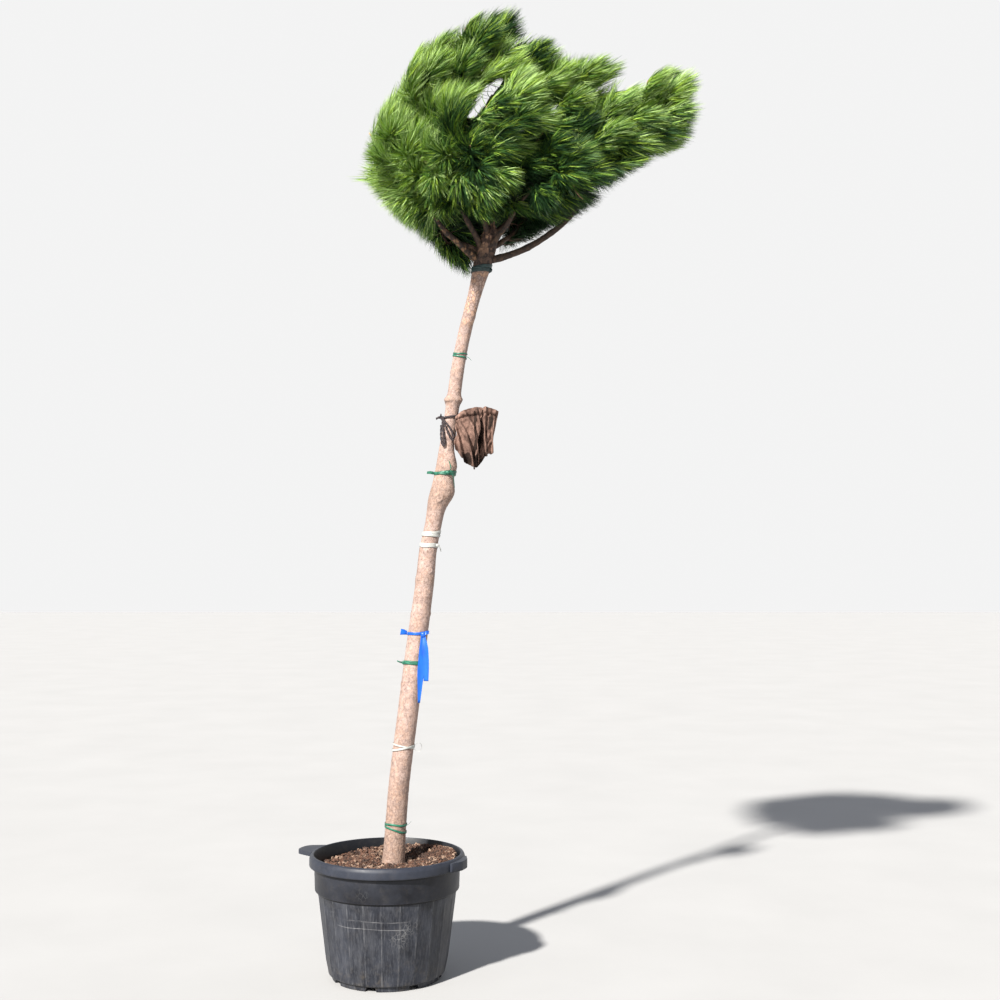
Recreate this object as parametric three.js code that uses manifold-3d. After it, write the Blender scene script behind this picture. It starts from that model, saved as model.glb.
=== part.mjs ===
// An Italian stone pine grown as a standard: a long bare leaning stem out of a
// black nursery pot, and a brush of foliage swept up and over by the wind.
// Millimetres, +Z up. The origin is the middle of the pot's flat underside,
// +X is the way the tree leans, and -Y is its front.
import * as THREE from 'three';
import { mergeVertices } from 'three/addons/utils/BufferGeometryUtils.js';
import Module from 'manifold-3d';

// ---------------------------------------------------------------- dimensions

const CLEARANCE = 0.35; // kept between any two solids
const SEED = 10;

const POT = {
  height: 470,
  rimRadius: 300,
  rimHeight: 42,
  rimLip: 17,
  rimEdge: 2, // the bevel of the rim's outer edge
  bandRadius: 281,
  bandBottom: 335,
  bandDraft: 3, // how much narrower the band is at its foot
  wallTopRadius: 268,
  wallBendRadius: 236,
  wallBendHeight: 80,
  wallFootRadius: 224,
  footRadius: 210,
  footHeight: 22,
  footDraft: 2,
  wall: 8,
  floor: 26,
  sides: 28,
};
const HANDLE = { reach: 49, width: 150, taper: 26, thickness: 10, drop: 7, turn: -20 };
const NOTCH = { count: 8, width: 38, depth: 40, height: 16, turn: -101.5 };
const SOIL = {
  middle: 426,
  edge: 446,
  flatRadius: 95,
  slopeRadius: 171,
  slopeShare: 0.35, // how far up the dish has come at the slope's radius
  play: 3,
  sides: 28,
};

const TRUNK = {
  foot: [23, 0, SOIL.middle + CLEARANCE],
  whorl: [372, 0, 2776],
  tip: [425, -40, 3220],
  bow: 0.48, // the share of the lean that comes towards the top
  footRadius: 40.5,
  neckRadius: 26,
  tipRadius: 7,
  flare: 6,
  flareHeight: 45,
  taperStart: 0.25,
  taperEnd: 0.85,
  sides: 10,
  step: 95,
  closest: 12, // between two rings
};
const TRUNK_CLEARANCE = CLEARANCE / Math.cos(Math.PI / TRUNK.sides);
// Shallow bends of the trunk out of its even bow.
const BENDS = [
  { height: 2440, shift: -17, spread: 250 },
  { height: 1640, shift: -7, spread: 90 },
  { height: 720, shift: -5.5, spread: 200 },
];
// Swellings of the trunk. One that faces a way bulges on that side only.
const KNOTS = [
  { height: 1862, swell: 30, spread: 50, facing: 0 },
  { height: 1962, swell: 24, spread: 50, facing: 0 },
  { height: 1835, swell: 7, spread: 60, facing: 180 },
  { height: 1525, swell: 3, spread: 20, facing: -150 },
  { height: 2228, swell: 8.5, spread: 15 },
  { height: 2790, swell: 12, spread: 95 },
  { height: 2862, swell: 7, spread: 50 },
];

// Each bough leaves the trunk at `leaves` and ends at its fork. `out` and
// `lift` are the shares of its run and of its rise that lie before its bend.
// Its foliage grows on from the fork to the tip, `width` across the rise and
// `depth` across that. The foliage with no bough grows from the trunk's tip.
const BOUGH = { tipRadius: 7, sides: 6, rings: 6 };
const BOUGH_CLEARANCE = CLEARANCE / Math.cos(Math.PI / BOUGH.sides);
const LIMBS = [
  { name: 'right', leaves: 2778, out: 0.85, lift: 0.16, footRadius: 15,
    fork: [805, -40, 3165], tip: [1240, -5, 3500], width: 430, depth: 400, sprays: 10 },
  { name: 'left', leaves: 2768, out: 0.7, lift: 0.5, footRadius: 15,
    fork: [165, -95, 2950], tip: [-130, -20, 3100], width: 360, depth: 360, sprays: 8 },
  { name: 'left_centre', leaves: 2800, out: 0.35, lift: 0.42, footRadius: 14.5,
    fork: [250, -125, 3010], tip: [-60, -175, 3330], width: 400, depth: 360, sprays: 9 },
  { name: 'right_centre', leaves: 2805, out: 0.5, lift: 0.45, footRadius: 14,
    fork: [512, -135, 2975], tip: [850, -310, 3040], width: 380, depth: 400, sprays: 8 },
  { name: 'low_left', leaves: 2812, out: 0.6, lift: 0.35, footRadius: 12,
    fork: [205, 25, 2905], tip: [285, 125, 2740], width: 320, depth: 330, sprays: 6 },
  { name: 'low_right', leaves: 2822, out: 0.6, lift: 0.35, footRadius: 12,
    fork: [535, 110, 2975], tip: [795, 165, 3025], width: 260, depth: 330, sprays: 7 },
  { name: 'front', leaves: 2870, out: 0.55, lift: 0.35, footRadius: 11,
    fork: [352, -160, 3000], tip: [385, -490, 3120], width: 460, depth: 440, sprays: 9 },
  { name: 'front_upper', leaves: 2980, out: 0.5, lift: 0.4, footRadius: 10,
    fork: [415, -150, 3165], tip: [500, -430, 3400], width: 420, depth: 440, sprays: 8 },
  { name: 'back_left', leaves: 2850, out: 0.5, lift: 0.35, footRadius: 12,
    fork: [205, 165, 3015], tip: [-60, 340, 3235], width: 400, depth: 400, sprays: 8 },
  { name: 'back_right', leaves: 2880, out: 0.5, lift: 0.35, footRadius: 12,
    fork: [565, 170, 3085], tip: [890, 385, 3345], width: 420, depth: 400, sprays: 8 },
  { name: 'back', leaves: 2925, out: 0.5, lift: 0.35, footRadius: 11,
    fork: [385, 200, 3080], tip: [425, 500, 3300], width: 440, depth: 400, sprays: 7 },
  { name: 'top_left', leaves: 2960, out: 0.5, lift: 0.4, footRadius: 11,
    fork: [230, -85, 3175], tip: [150, -95, 3625], width: 400, depth: 380, sprays: 9 },
  { name: 'top', leaves: 3020, out: 0.5, lift: 0.35, footRadius: 10,
    fork: [310, -75, 3235], tip: [465, -55, 3775], width: 440, depth: 380, sprays: 11 },
  { name: 'upper_right', leaves: 3010, out: 0.6, lift: 0.3, footRadius: 10,
    fork: [560, -30, 3215], tip: [950, 0, 3600], width: 360, depth: 360, sprays: 9 },
  { name: 'back_top', leaves: 3060, out: 0.5, lift: 0.35, footRadius: 9,
    fork: [370, 95, 3265], tip: [425, 225, 3670], width: 420, depth: 400, sprays: 8 },
];
const LEADER_FOLIAGE = {
  name: 'upper_centre', tip: [690, -65, 3640], width: 380, depth: 360, sprays: 9,
};

const STEM = {
  reach: 0.6,
  tipRoom: 157, // left for the spray at its end
  bend: 0.5,
  bare: 0.12,
  footRadius: 6.5,
  tipRadius: 4,
  sides: 4,
  rings: 4,
  marks: 24,
};
const TWIG = { radius: 3.6, sides: 3, sunk: 34, shortest: 2 };
const SPRAY = {
  length: 390,
  shortest: 150,
  bare: 0.06,
  teeth: 3,
  needle: 190,
  splay: 32,
  core: 6.5,
  coreTaper: 0.4,
  uneven: 0.86, // the needles of one flank against those of the other
  thickness: 4.2,
  centre: 0.6,
};
const SPACE = {
  gap: 2.5, // from a mass to the plane that parts it from the next
  limbGap: 7, // from a mass to a limb that passes it
  limbStep: 10, // along a limb, between the places where that gap is kept
  lowest: 2600, // no foliage comes below this height
  highest: 0.9, // the last spray before the tip, in half lengths from the middle
  back: 1.6, // how far back from there a mass has sprays
  rounds: 80, // of the search for the closest points of two masses
  forward: 0.8, // how far a spray leans forward for each step out
  tries: 100,
  scales: [1, 0.85, 0.7, 0.55, 0.42],
  crossing: 260, // cubic millimetres of one spray that may lie inside others
};

// Ties left on the trunk: `from` and `to` are their lower and upper edges.
const TIES = [
  { name: 'tie_green_upper', from: 2392, to: 2414, colour: 0x1f8a55 },
  { name: 'twine_band', from: 2142, to: 2154, colour: 0x23263a },
  { name: 'tie_green_middle', from: 1930, to: 1946, colour: 0x1f8a55 },
  { name: 'tie_white_upper', from: 1692, to: 1710, colour: 0xe9ece8 },
  { name: 'tie_white_lower', from: 866, to: 884, colour: 0xe9ece8 },
  { name: 'tie_green_foot', from: 548, to: 588, colour: 0x1f8a55 },
];
const TIE = { inside: 0.7, outside: 3.2 };
const RIBBON = {
  from: 1300,
  to: 1326,
  facing: -40,
  tailTop: 1312,
  tailLength: 245,
  tailWidth: 20,
  tailThickness: 3,
  drift: 7, // how far the tail strays to the left as it hangs
};
const CLOTH = {
  top: 2196,
  bottom: 1952,
  left: 256,
  right: 416,
  depth: 66,
  front: -45,
  sides: 10,
};

const COLOUR = {
  pot: 0x2b2f36,
  soil: 0x7a4f2e,
  bark: 0xb08a72,
  bough: 0x8a6a50,
  foliage: 0x4f7d2a,
  ribbon: 0x1463d8,
  cloth: 0x6f5140,
};

// -------------------------------------------------------------------- helpers

const wasm = await Module();
wasm.setup();

const plant = new THREE.Group();
const vector = (values) => new THREE.Vector3(...values);
const UP = new THREE.Vector3(0, 0, 1);
const SLANT = new THREE.Vector3(0.31, 0.87, 0.38); // along no limb

// A repeatable run of numbers between 0 and 1.
function seeded(seed) {
  let state = seed >>> 0;
  return () => {
    state = (state + 0x6d2b79f5) >>> 0;
    let mixed = Math.imul(state ^ (state >>> 15), state | 1);
    mixed ^= mixed + Math.imul(mixed ^ (mixed >>> 7), mixed | 61);
    return ((mixed ^ (mixed >>> 14)) >>> 0) / 4294967296;
  };
}

function smoothstep(low, high, value) {
  const share = Math.min(Math.max((value - low) / (high - low), 0), 1);
  return share * share * (3 - 2 * share);
}

// A closed geometry as a solid, with its faces turned outwards.
function solidOf(geometry) {
  const bare = geometry.clone();
  bare.deleteAttribute('normal');
  bare.deleteAttribute('uv');
  const merged = mergeVertices(bare, 1e-3);
  const place = merged.getAttribute('position').array;
  const corners = merged.getIndex().array;
  const faces = [];
  for (let i = 0; i < corners.length; i += 3) {
    const [a, b, c] = corners.slice(i, i + 3);
    if (a !== b && b !== c && c !== a) faces.push([a, b, c]);
  }
  const build = (list) => new wasm.Manifold(new wasm.Mesh({
    numProp: 3,
    vertProperties: new Float32Array(place),
    triVerts: new Uint32Array(list.flat()),
  }));
  const solid = build(faces);
  return solid.volume() > 0 ? solid : build(faces.map(([a, b, c]) => [a, c, b]));
}

// The largest piece of a solid, without scraps or sealed hollows.
function mainPiece(solid) {
  const pieces = solid.decompose();
  pieces.sort((one, other) => other.volume() - one.volume());
  return pieces[0];
}

function addPart(name, solid, colour, roughness, metalness = 0) {
  const mesh = solid.getMesh();
  const geometry = new THREE.BufferGeometry();
  geometry.setAttribute('position', new THREE.BufferAttribute(mesh.vertProperties, 3));
  geometry.setIndex(new THREE.BufferAttribute(mesh.triVerts, 1));
  const flat = geometry.toNonIndexed();
  flat.computeVertexNormals();
  const material = new THREE.MeshStandardMaterial({ color: colour, roughness, metalness });
  const part = new THREE.Mesh(flat, material);
  part.name = name;
  plant.add(part);
}

// A closed skin over rings of points that all have the same number of points.
function skin(rings) {
  const count = rings[0].length;
  const faces = [];
  for (let k = 0; k < rings.length - 1; k += 1) {
    const low = k * count;
    const high = low + count;
    for (let i = 0; i < count; i += 1) {
      const j = (i + 1) % count;
      faces.push(low + i, low + j, high + j, low + i, high + j, high + i);
    }
  }
  const last = (rings.length - 1) * count;
  for (let i = 1; i < count - 1; i += 1) {
    faces.push(0, i + 1, i, last, last + i, last + i + 1);
  }
  const geometry = new THREE.BufferGeometry();
  const places = rings.flat().flatMap((point) => [point.x, point.y, point.z]);
  geometry.setAttribute('position', new THREE.Float32BufferAttribute(places, 3));
  geometry.setIndex(faces);
  return geometry;
}

// A tapering limb along a curve, square across the curve at both ends.
function limb(curve, footRadius, tipRadius, sides, rings, extra = 0) {
  const loops = [];
  const across = SLANT.clone();
  for (let k = 0; k < rings; k += 1) {
    const share = k / (rings - 1);
    const middle = curve.getPoint(share);
    const along = curve.getTangent(share);
    across.addScaledVector(along, -across.dot(along)).normalize();
    const beside = new THREE.Vector3().crossVectors(along, across);
    const radius = THREE.MathUtils.lerp(footRadius, tipRadius, share) + extra;
    const loop = [];
    for (let i = 0; i < sides; i += 1) {
      const angle = (2 * Math.PI * i) / sides;
      loop.push(middle.clone()
        .addScaledVector(across, radius * Math.cos(angle))
        .addScaledVector(beside, radius * Math.sin(angle)));
    }
    loops.push(loop);
  }
  return solidOf(skin(loops));
}

// ------------------------------------------------------------------------ pot

function potHandle(turn) {
  const { reach, width, taper, thickness, drop } = HANDLE;
  const root = POT.rimRadius - POT.rimLip;
  const end = POT.rimRadius + reach;
  const half = width / 2;
  const outline = new THREE.Shape();
  outline.moveTo(root, -half);
  outline.lineTo(POT.rimRadius, -half);
  outline.lineTo(end - taper / 2, -half + taper);
  outline.lineTo(end, -half + 2 * taper);
  outline.lineTo(end, half - 2 * taper);
  outline.lineTo(end - taper / 2, half - taper);
  outline.lineTo(POT.rimRadius, half);
  outline.lineTo(root, half);
  const plate = new THREE.ExtrudeGeometry(outline, { depth: thickness, bevelEnabled: false });
  plate.translate(0, 0, POT.height - drop - thickness);
  plate.rotateZ(THREE.MathUtils.degToRad(turn));
  return solidOf(plate);
}

function footNotch(index) {
  const { count, width, depth, height, turn } = NOTCH;
  const box = new THREE.BoxGeometry(2 * depth, width, 2 * height);
  box.translate(POT.footRadius, 0, 0);
  box.rotateZ(THREE.MathUtils.degToRad(turn + (360 * index) / count));
  return solidOf(box);
}

function potProfile() {
  const p = POT;
  const rimBottom = p.height - p.rimHeight;
  return [
    [0, 0],
    [p.footRadius, 0],
    [p.footRadius + p.footDraft, p.footHeight],
    [p.wallFootRadius, p.footHeight],
    [p.wallBendRadius, p.wallBendHeight],
    [p.wallTopRadius, p.bandBottom],
    [p.bandRadius - p.bandDraft, p.bandBottom],
    [p.bandRadius, rimBottom],
    [p.rimRadius, rimBottom],
    [p.rimRadius, p.height - p.rimEdge],
    [p.rimRadius - p.rimEdge, p.height],
    [p.rimRadius - p.rimLip, p.height],
    [p.bandRadius - p.wall, rimBottom],
    [p.wallTopRadius - p.wall, p.bandBottom],
    [p.wallBendRadius - p.wall, p.wallBendHeight],
    [p.wallFootRadius - p.wall - p.footDraft, p.floor],
    [0, p.floor],
  ];
}

function turned(profile, sides) {
  const points = profile.map(([radius, height]) => new THREE.Vector2(radius, height));
  const lathe = new THREE.LatheGeometry(points, sides);
  lathe.rotateX(Math.PI / 2);
  return solidOf(lathe);
}

function addPot() {
  let pot = turned(potProfile(), POT.sides);
  for (const turn of [HANDLE.turn, HANDLE.turn + 180]) {
    pot = pot.add(potHandle(turn));
  }
  for (let i = 0; i < NOTCH.count; i += 1) {
    pot = pot.subtract(footNotch(i));
  }
  addPart('pot', pot, COLOUR.pot, 0.6);
}

// The bark mulch that fills the pot, dished a little round the trunk. Its
// sides keep their gap from the pot's wall at their flats too.
function addSoil() {
  const p = POT;
  const fit = 1 / Math.cos(Math.PI / p.sides);
  const inside = (radius) => radius / fit - 2 * CLEARANCE;
  const slope = (p.bandRadius - p.wallTopRadius) / (p.height - p.rimHeight - p.bandBottom);
  const edgeRadius = p.wallTopRadius - p.wall + slope * (SOIL.edge - p.bandBottom);
  addPart('soil', turned([
    [0, p.floor + CLEARANCE],
    [inside(p.wallFootRadius - p.wall - SOIL.play), p.floor + CLEARANCE],
    [inside(p.wallBendRadius - p.wall), p.wallBendHeight],
    [inside(p.wallTopRadius - p.wall), p.bandBottom],
    [inside(edgeRadius - SOIL.play), SOIL.edge],
    [SOIL.slopeRadius, THREE.MathUtils.lerp(SOIL.middle, SOIL.edge, SOIL.slopeShare)],
    [SOIL.flatRadius, SOIL.middle],
    [0, SOIL.middle],
  ], SOIL.sides), COLOUR.soil, 0.95);
}

// ---------------------------------------------------------------------- trunk

// A smooth hump of one at `centre`, that dies away over `spread`.
const hump = (height, { height: centre, spread }) => Math.exp(-(((height - centre) / spread) ** 2));

// The middle of the trunk and of the leader that runs on above the whorl.
function trunkMiddle(height) {
  const foot = vector(TRUNK.foot);
  const whorl = vector(TRUNK.whorl);
  const tip = vector(TRUNK.tip);
  const rise = Math.min((height - foot.z) / (whorl.z - foot.z), 1);
  const above = Math.max((height - whorl.z) / (tip.z - whorl.z), 0);
  const swing = (1 - TRUNK.bow) * rise + TRUNK.bow * rise * rise;
  const settle = 1 - (1 - above) * (1 - above);
  const middle = new THREE.Vector3(THREE.MathUtils.lerp(foot.x, whorl.x, swing), foot.y, height);
  middle.x += (tip.x - whorl.x) * settle;
  middle.y += (tip.y - whorl.y) * above * above;
  for (const bend of BENDS) {
    middle.x += bend.shift * hump(height, bend);
  }
  return middle;
}

function trunkRadius(height, angle) {
  const rise = (height - TRUNK.foot[2]) / (TRUNK.whorl[2] - TRUNK.foot[2]);
  const above = Math.max(height - TRUNK.whorl[2], 0) / (TRUNK.tip[2] - TRUNK.whorl[2]);
  const taper = smoothstep(TRUNK.taperStart, TRUNK.taperEnd, rise);
  let radius = THREE.MathUtils.lerp(TRUNK.footRadius, TRUNK.neckRadius, taper);
  radius = THREE.MathUtils.lerp(radius, TRUNK.tipRadius, above);
  radius += TRUNK.flare * Math.exp(-(height - TRUNK.foot[2]) / TRUNK.flareHeight);
  for (const knot of KNOTS) {
    const turn = knot.facing === undefined ? 0 : angle - THREE.MathUtils.degToRad(knot.facing);
    radius += knot.swell * hump(height, knot) * Math.cos(turn / 2) ** 4;
  }
  return radius;
}

function trunkRing(height, extra) {
  const middle = trunkMiddle(height);
  const ring = [];
  for (let i = 0; i < TRUNK.sides; i += 1) {
    const angle = (2 * Math.PI * i) / TRUNK.sides;
    const radius = trunkRadius(height, angle) + extra;
    ring.push(new THREE.Vector3(
      middle.x + radius * Math.cos(angle),
      middle.y + radius * Math.sin(angle),
      height,
    ));
  }
  return ring;
}

// Even steps up the trunk, with closer ones over each narrow swelling.
function trunkHeights() {
  const [low, high] = [TRUNK.foot[2], TRUNK.tip[2]];
  const steps = Math.round((high - low) / TRUNK.step);
  const even = Array.from({ length: steps + 1 }, (_, k) => low + ((high - low) * k) / steps);
  const close = KNOTS.filter((knot) => knot.spread < TRUNK.step * 0.6)
    .flatMap((knot) => [-1.7, -0.8, 0, 0.8, 1.7].map((share) => knot.height + share * knot.spread));
  const kept = even.filter((height) => close.every((other) => Math.abs(height - other) > TRUNK.closest));
  return [...kept, ...close].sort((one, other) => one - other);
}

function trunkSolid(extra = 0) {
  return solidOf(skin(trunkHeights().map((height) => trunkRing(height, extra))));
}

// ------------------------------------------------------------ boughs and ties

function boughCurve(limbData) {
  const start = trunkMiddle(limbData.leaves);
  const end = vector(limbData.fork);
  const bend = new THREE.Vector3(
    THREE.MathUtils.lerp(start.x, end.x, limbData.out),
    THREE.MathUtils.lerp(start.y, end.y, limbData.out),
    THREE.MathUtils.lerp(start.z, end.z, limbData.lift),
  );
  return new THREE.QuadraticBezierCurve3(start, bend, end);
}

function boughSolid(limbData, extra = 0) {
  const { sides, rings, tipRadius } = BOUGH;
  return limb(boughCurve(limbData), limbData.footRadius, tipRadius, sides, rings, extra);
}

// Each bough is cut back to the trunk and to the boughs made before it.
function addBoughs() {
  let taken = trunkSolid(TRUNK_CLEARANCE);
  for (const limbData of LIMBS) {
    const bough = mainPiece(boughSolid(limbData).subtract(taken));
    addPart(`bough_${limbData.name}`, bough, COLOUR.bough, 0.85);
    taken = taken.add(boughSolid(limbData, BOUGH_CLEARANCE));
  }
}

// A band that follows the trunk's own surface.
function trunkBand(from, to) {
  const between = trunkHeights().filter((height) => height > from && height < to);
  const rings = [from, ...between, to].map((height) => trunkRing(height, TIE.outside));
  return mainPiece(solidOf(skin(rings)).subtract(trunkSolid(TIE.inside)));
}

function addTies() {
  for (const tie of TIES) {
    addPart(tie.name, trunkBand(tie.from, tie.to), tie.colour, 0.5);
  }
}

// A plastic ribbon knotted on the trunk's right side, with a hanging tail.
function addRibbon() {
  const { tailTop, tailLength, tailWidth, tailThickness, drift } = RIBBON;
  const side = THREE.MathUtils.degToRad(RIBBON.facing);
  const middle = trunkMiddle(tailTop);
  const radius = trunkRadius(tailTop, side) + TIE.outside;
  const left = middle.x + radius * Math.cos(side) - tailWidth / 3;
  const front = middle.y + radius * Math.sin(side) - tailThickness;
  const outline = new THREE.Shape();
  outline.moveTo(left, tailTop);
  outline.lineTo(left - drift / 2, tailTop - tailLength * 0.55);
  outline.lineTo(left - drift, tailTop - tailLength);
  outline.lineTo(left - drift + tailWidth * 0.45, tailTop - tailLength * 0.94);
  outline.lineTo(left + tailWidth, tailTop - tailLength * 0.7);
  outline.lineTo(left + tailWidth, tailTop);
  const tail = new THREE.ExtrudeGeometry(outline, { depth: 2 * tailThickness, bevelEnabled: false });
  tail.rotateX(Math.PI / 2);
  tail.translate(0, front + 2 * tailThickness, 0);
  const keepOut = trunkSolid(TIE.inside);
  const ribbon = trunkBand(RIBBON.from, RIBBON.to).add(solidOf(tail).subtract(keepOut));
  addPart('ribbon_blue', mainPiece(ribbon), COLOUR.ribbon, 0.35);
}

// A folded rag that hangs from the twine and narrows to a point.
function addCloth() {
  const { top, bottom, left, right, depth, front, sides } = CLOTH;
  const middleX = (left + right) / 2;
  const levels = [
    { share: 0, wide: 1, shift: 0 },
    { share: 0.3, wide: 0.98, shift: -0.02 },
    { share: 0.66, wide: 0.86, shift: -0.06 },
    { share: 1, wide: 0.16, shift: 0.04 },
  ];
  const rings = levels.map(({ share, wide, shift }) => {
    const ring = [];
    for (let i = 0; i < sides; i += 1) {
      const angle = (-2 * Math.PI * i) / sides;
      const fold = i % 2 ? 0.72 : 1;
      ring.push(new THREE.Vector3(
        middleX + (right - left) * (shift + (wide / 2) * Math.cos(angle)),
        front + depth * 0.5 + (depth / 2) * wide * fold * Math.sin(angle),
        top + (bottom - top) * share,
      ));
    }
    return ring;
  });
  const cloth = solidOf(skin(rings)).subtract(trunkSolid(TIE.outside + CLEARANCE));
  addPart('cloth', mainPiece(cloth), COLOUR.cloth, 0.9);
}

// -------------------------------------------------------------------- foliage

// Every mass of foliage, with the line from its fork to its tip.
function foliageMasses() {
  const masses = LIMBS.map((limbData) => {
    const curve = boughCurve(limbData);
    return { ...limbData, start: curve.getPoint(1), heading: curve.getTangent(1) };
  });
  const heading = trunkMiddle(TRUNK.tip[2]).sub(trunkMiddle(TRUNK.tip[2] - 1)).normalize();
  masses.push({ ...LEADER_FOLIAGE, start: vector(TRUNK.tip), heading });
  for (const mass of masses) {
    mass.line = new THREE.Line3(mass.start, vector(mass.tip));
  }
  return masses;
}

// The planes midway between this mass's line and each other mass's line.
// A mass keeps to its own side of them all.
function spaceOf(mass, masses) {
  const planes = [];
  for (const other of masses) {
    if (other === mass) continue;
    const near = mass.line.getCenter(new THREE.Vector3());
    const far = other.line.getCenter(new THREE.Vector3());
    for (let k = 0; k < SPACE.rounds; k += 1) {
      mass.line.closestPointToPoint(far, true, near);
      other.line.closestPointToPoint(near, true, far);
    }
    const away = far.clone().sub(near).normalize();
    const middle = near.clone().add(far).multiplyScalar(0.5);
    planes.push(new THREE.Plane().setFromNormalAndCoplanarPoint(away, middle));
  }
  return planes;
}

const within = (point, planes) => planes.every((plane) => plane.distanceToPoint(point) < -SPACE.gap);

// Points and radii along every limb, which foliage keeps clear of.
function limbMarks() {
  const marks = [];
  for (let height = SPACE.lowest; height <= TRUNK.tip[2]; height += SPACE.limbStep) {
    marks.push({ place: trunkMiddle(height), radius: trunkRadius(height, 0) });
  }
  for (const limbData of LIMBS) {
    const curve = boughCurve(limbData);
    const steps = Math.ceil(curve.getLength() / SPACE.limbStep);
    for (let k = 0; k < steps; k += 1) {
      const share = k / steps;
      const radius = THREE.MathUtils.lerp(limbData.footRadius, BOUGH.tipRadius, share);
      marks.push({ place: curve.getPoint(share), radius });
    }
  }
  return marks;
}

function clearOfLimbs(from, to, marks, gap) {
  const line = new THREE.Line3(from, to);
  const nearest = new THREE.Vector3();
  return marks.every(({ place, radius }) => {
    line.closestPointToPoint(place, true, nearest);
    return nearest.distanceTo(place) > radius + gap;
  });
}

// A spray of needles: a toothed blade in the XY plane, rooted at the origin
// and pointing along +X.
function sprayOutline(length) {
  const { teeth, core, needle, splay } = SPRAY;
  const splayAngle = THREE.MathUtils.degToRad(splay);
  const reach = needle * Math.min(length / SPRAY.length, 1);
  const start = length * SPRAY.bare;
  const pitch = (length - reach - start) / teeth;
  const points = [];
  for (const side of [1, -1]) {
    const flank = [[0, side * core]];
    for (let k = 0; k < teeth; k += 1) {
      const foot = start + k * pitch;
      const tipAcross = core + reach * Math.sin(splayAngle) * (side > 0 ? 1 : SPRAY.uneven);
      flank.push([foot + reach * Math.cos(splayAngle), side * tipAcross]);
      flank.push([foot + pitch, side * core * (1 - (SPRAY.coreTaper * (k + 1)) / teeth)]);
    }
    points.push(flank);
  }
  return [...points[0], [length, 0], ...points[1].reverse()];
}

function spraySolid(outline, frame) {
  const shape = new THREE.Shape(outline.map(([along, across]) => new THREE.Vector2(along, across)));
  const blade = new THREE.ExtrudeGeometry(shape, { depth: SPRAY.thickness, bevelEnabled: false });
  blade.translate(0, 0, -SPRAY.thickness / 2);
  blade.applyMatrix4(frame);
  return solidOf(blade);
}

// The frame of a spray rooted at `root`, that points along `along` and whose
// blade lies in one plane with `beside`.
function sprayFrame(root, along, beside) {
  const face = new THREE.Vector3().crossVectors(along, beside).normalize();
  const across = new THREE.Vector3().crossVectors(face, along);
  return new THREE.Matrix4().makeBasis(along, across, face).setPosition(root);
}

// A spray and its twig from the stem, or nothing where they would leave the
// mass's space or touch a limb.
function placeSpray(foot, end, beside, planes, marks, longest = SPRAY.length) {
  const along = end.clone().sub(foot).normalize();
  const length = Math.min(longest, foot.distanceTo(end));
  if (length < SPRAY.shortest) return null;
  const root = end.clone().addScaledVector(along, -length);
  const frame = sprayFrame(root, along, beside);
  const outline = sprayOutline(length);
  const place = ([x, y], lift) => new THREE.Vector3(x, y, lift).applyMatrix4(frame);
  const lifts = [-SPRAY.thickness / 2, SPRAY.thickness / 2];
  const corners = outline.flatMap((point) => lifts.map((lift) => place(point, lift)));
  if (![foot, ...corners].every((corner) => within(corner, planes))) return null;
  const midline = outline.map((point) => place(point, 0));
  for (let i = 0; i < midline.length; i += 1) {
    const next = midline[(i + 1) % midline.length];
    if (!clearOfLimbs(midline[i], next, marks, SPACE.limbGap)) return null;
  }
  const spray = { blade: spraySolid(outline, frame), centre: root.clone().lerp(end, SPRAY.centre) };
  if (foot.distanceTo(root) > TWIG.shortest) {
    const sunk = new THREE.LineCurve3(foot, root.clone().addScaledVector(along, TWIG.sunk));
    spray.twig = limb(sunk, TWIG.radius, TWIG.radius * 0.8, TWIG.sides, 2);
  }
  return spray;
}

// How far a mass's stem runs, which leaves room for a spray at its end.
function stemReach(mass) {
  const length = mass.line.distance();
  return Math.min(length * STEM.reach, length - STEM.tipRoom);
}

// The spray that carries a mass out to its tip, as long as fits there.
function tipSpray(mass, tip, stemPoints, planesAcross, planes, marks) {
  const foot = stemPoints[STEM.marks - 2];
  for (const scale of SPACE.scales) {
    for (const beside of planesAcross) {
      const spray = placeSpray(foot, tip, beside, planes, marks, SPRAY.length * scale);
      if (spray) return spray;
    }
  }
  throw new Error(`no room for the tip of ${mass.name}`);
}

// The sprays that would fit a mass. They fan out from its stem to tips that
// lie in an egg round the line from fork to tip, and their blades stand in
// planes through that line.
function fittingSprays(mass, stemPoints, aim, rise, flat, planes, marks, random) {
  const half = mass.start.distanceTo(vector(mass.tip)) / 2;
  const heart = mass.start.clone().addScaledVector(aim, half);
  const fitting = [];
  for (let k = 0; k < SPACE.tries; k += 1) {
    const height = SPACE.highest - SPACE.back * random();
    const around = random() * 2 * Math.PI;
    const ring = Math.sqrt(1 - height ** 4);
    const beside = new THREE.Vector3()
      .addScaledVector(rise, (ring * Math.cos(around) * mass.width) / 2)
      .addScaledVector(flat, (ring * Math.sin(around) * mass.depth) / 2);
    for (const scale of SPACE.scales) {
      const end = heart.clone().addScaledVector(aim, height * half).addScaledVector(beside, scale);
      const level = end.clone().sub(mass.start).dot(aim) - beside.length() * scale * SPACE.forward;
      const share = Math.min(Math.max(level / stemReach(mass), STEM.bare), 1);
      const foot = stemPoints[Math.round(share * (STEM.marks - 1))];
      const spray = placeSpray(foot, end, aim, planes, marks, SPRAY.length * scale);
      if (!spray) continue;
      fitting.push(spray);
      break;
    }
  }
  return fitting;
}

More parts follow.
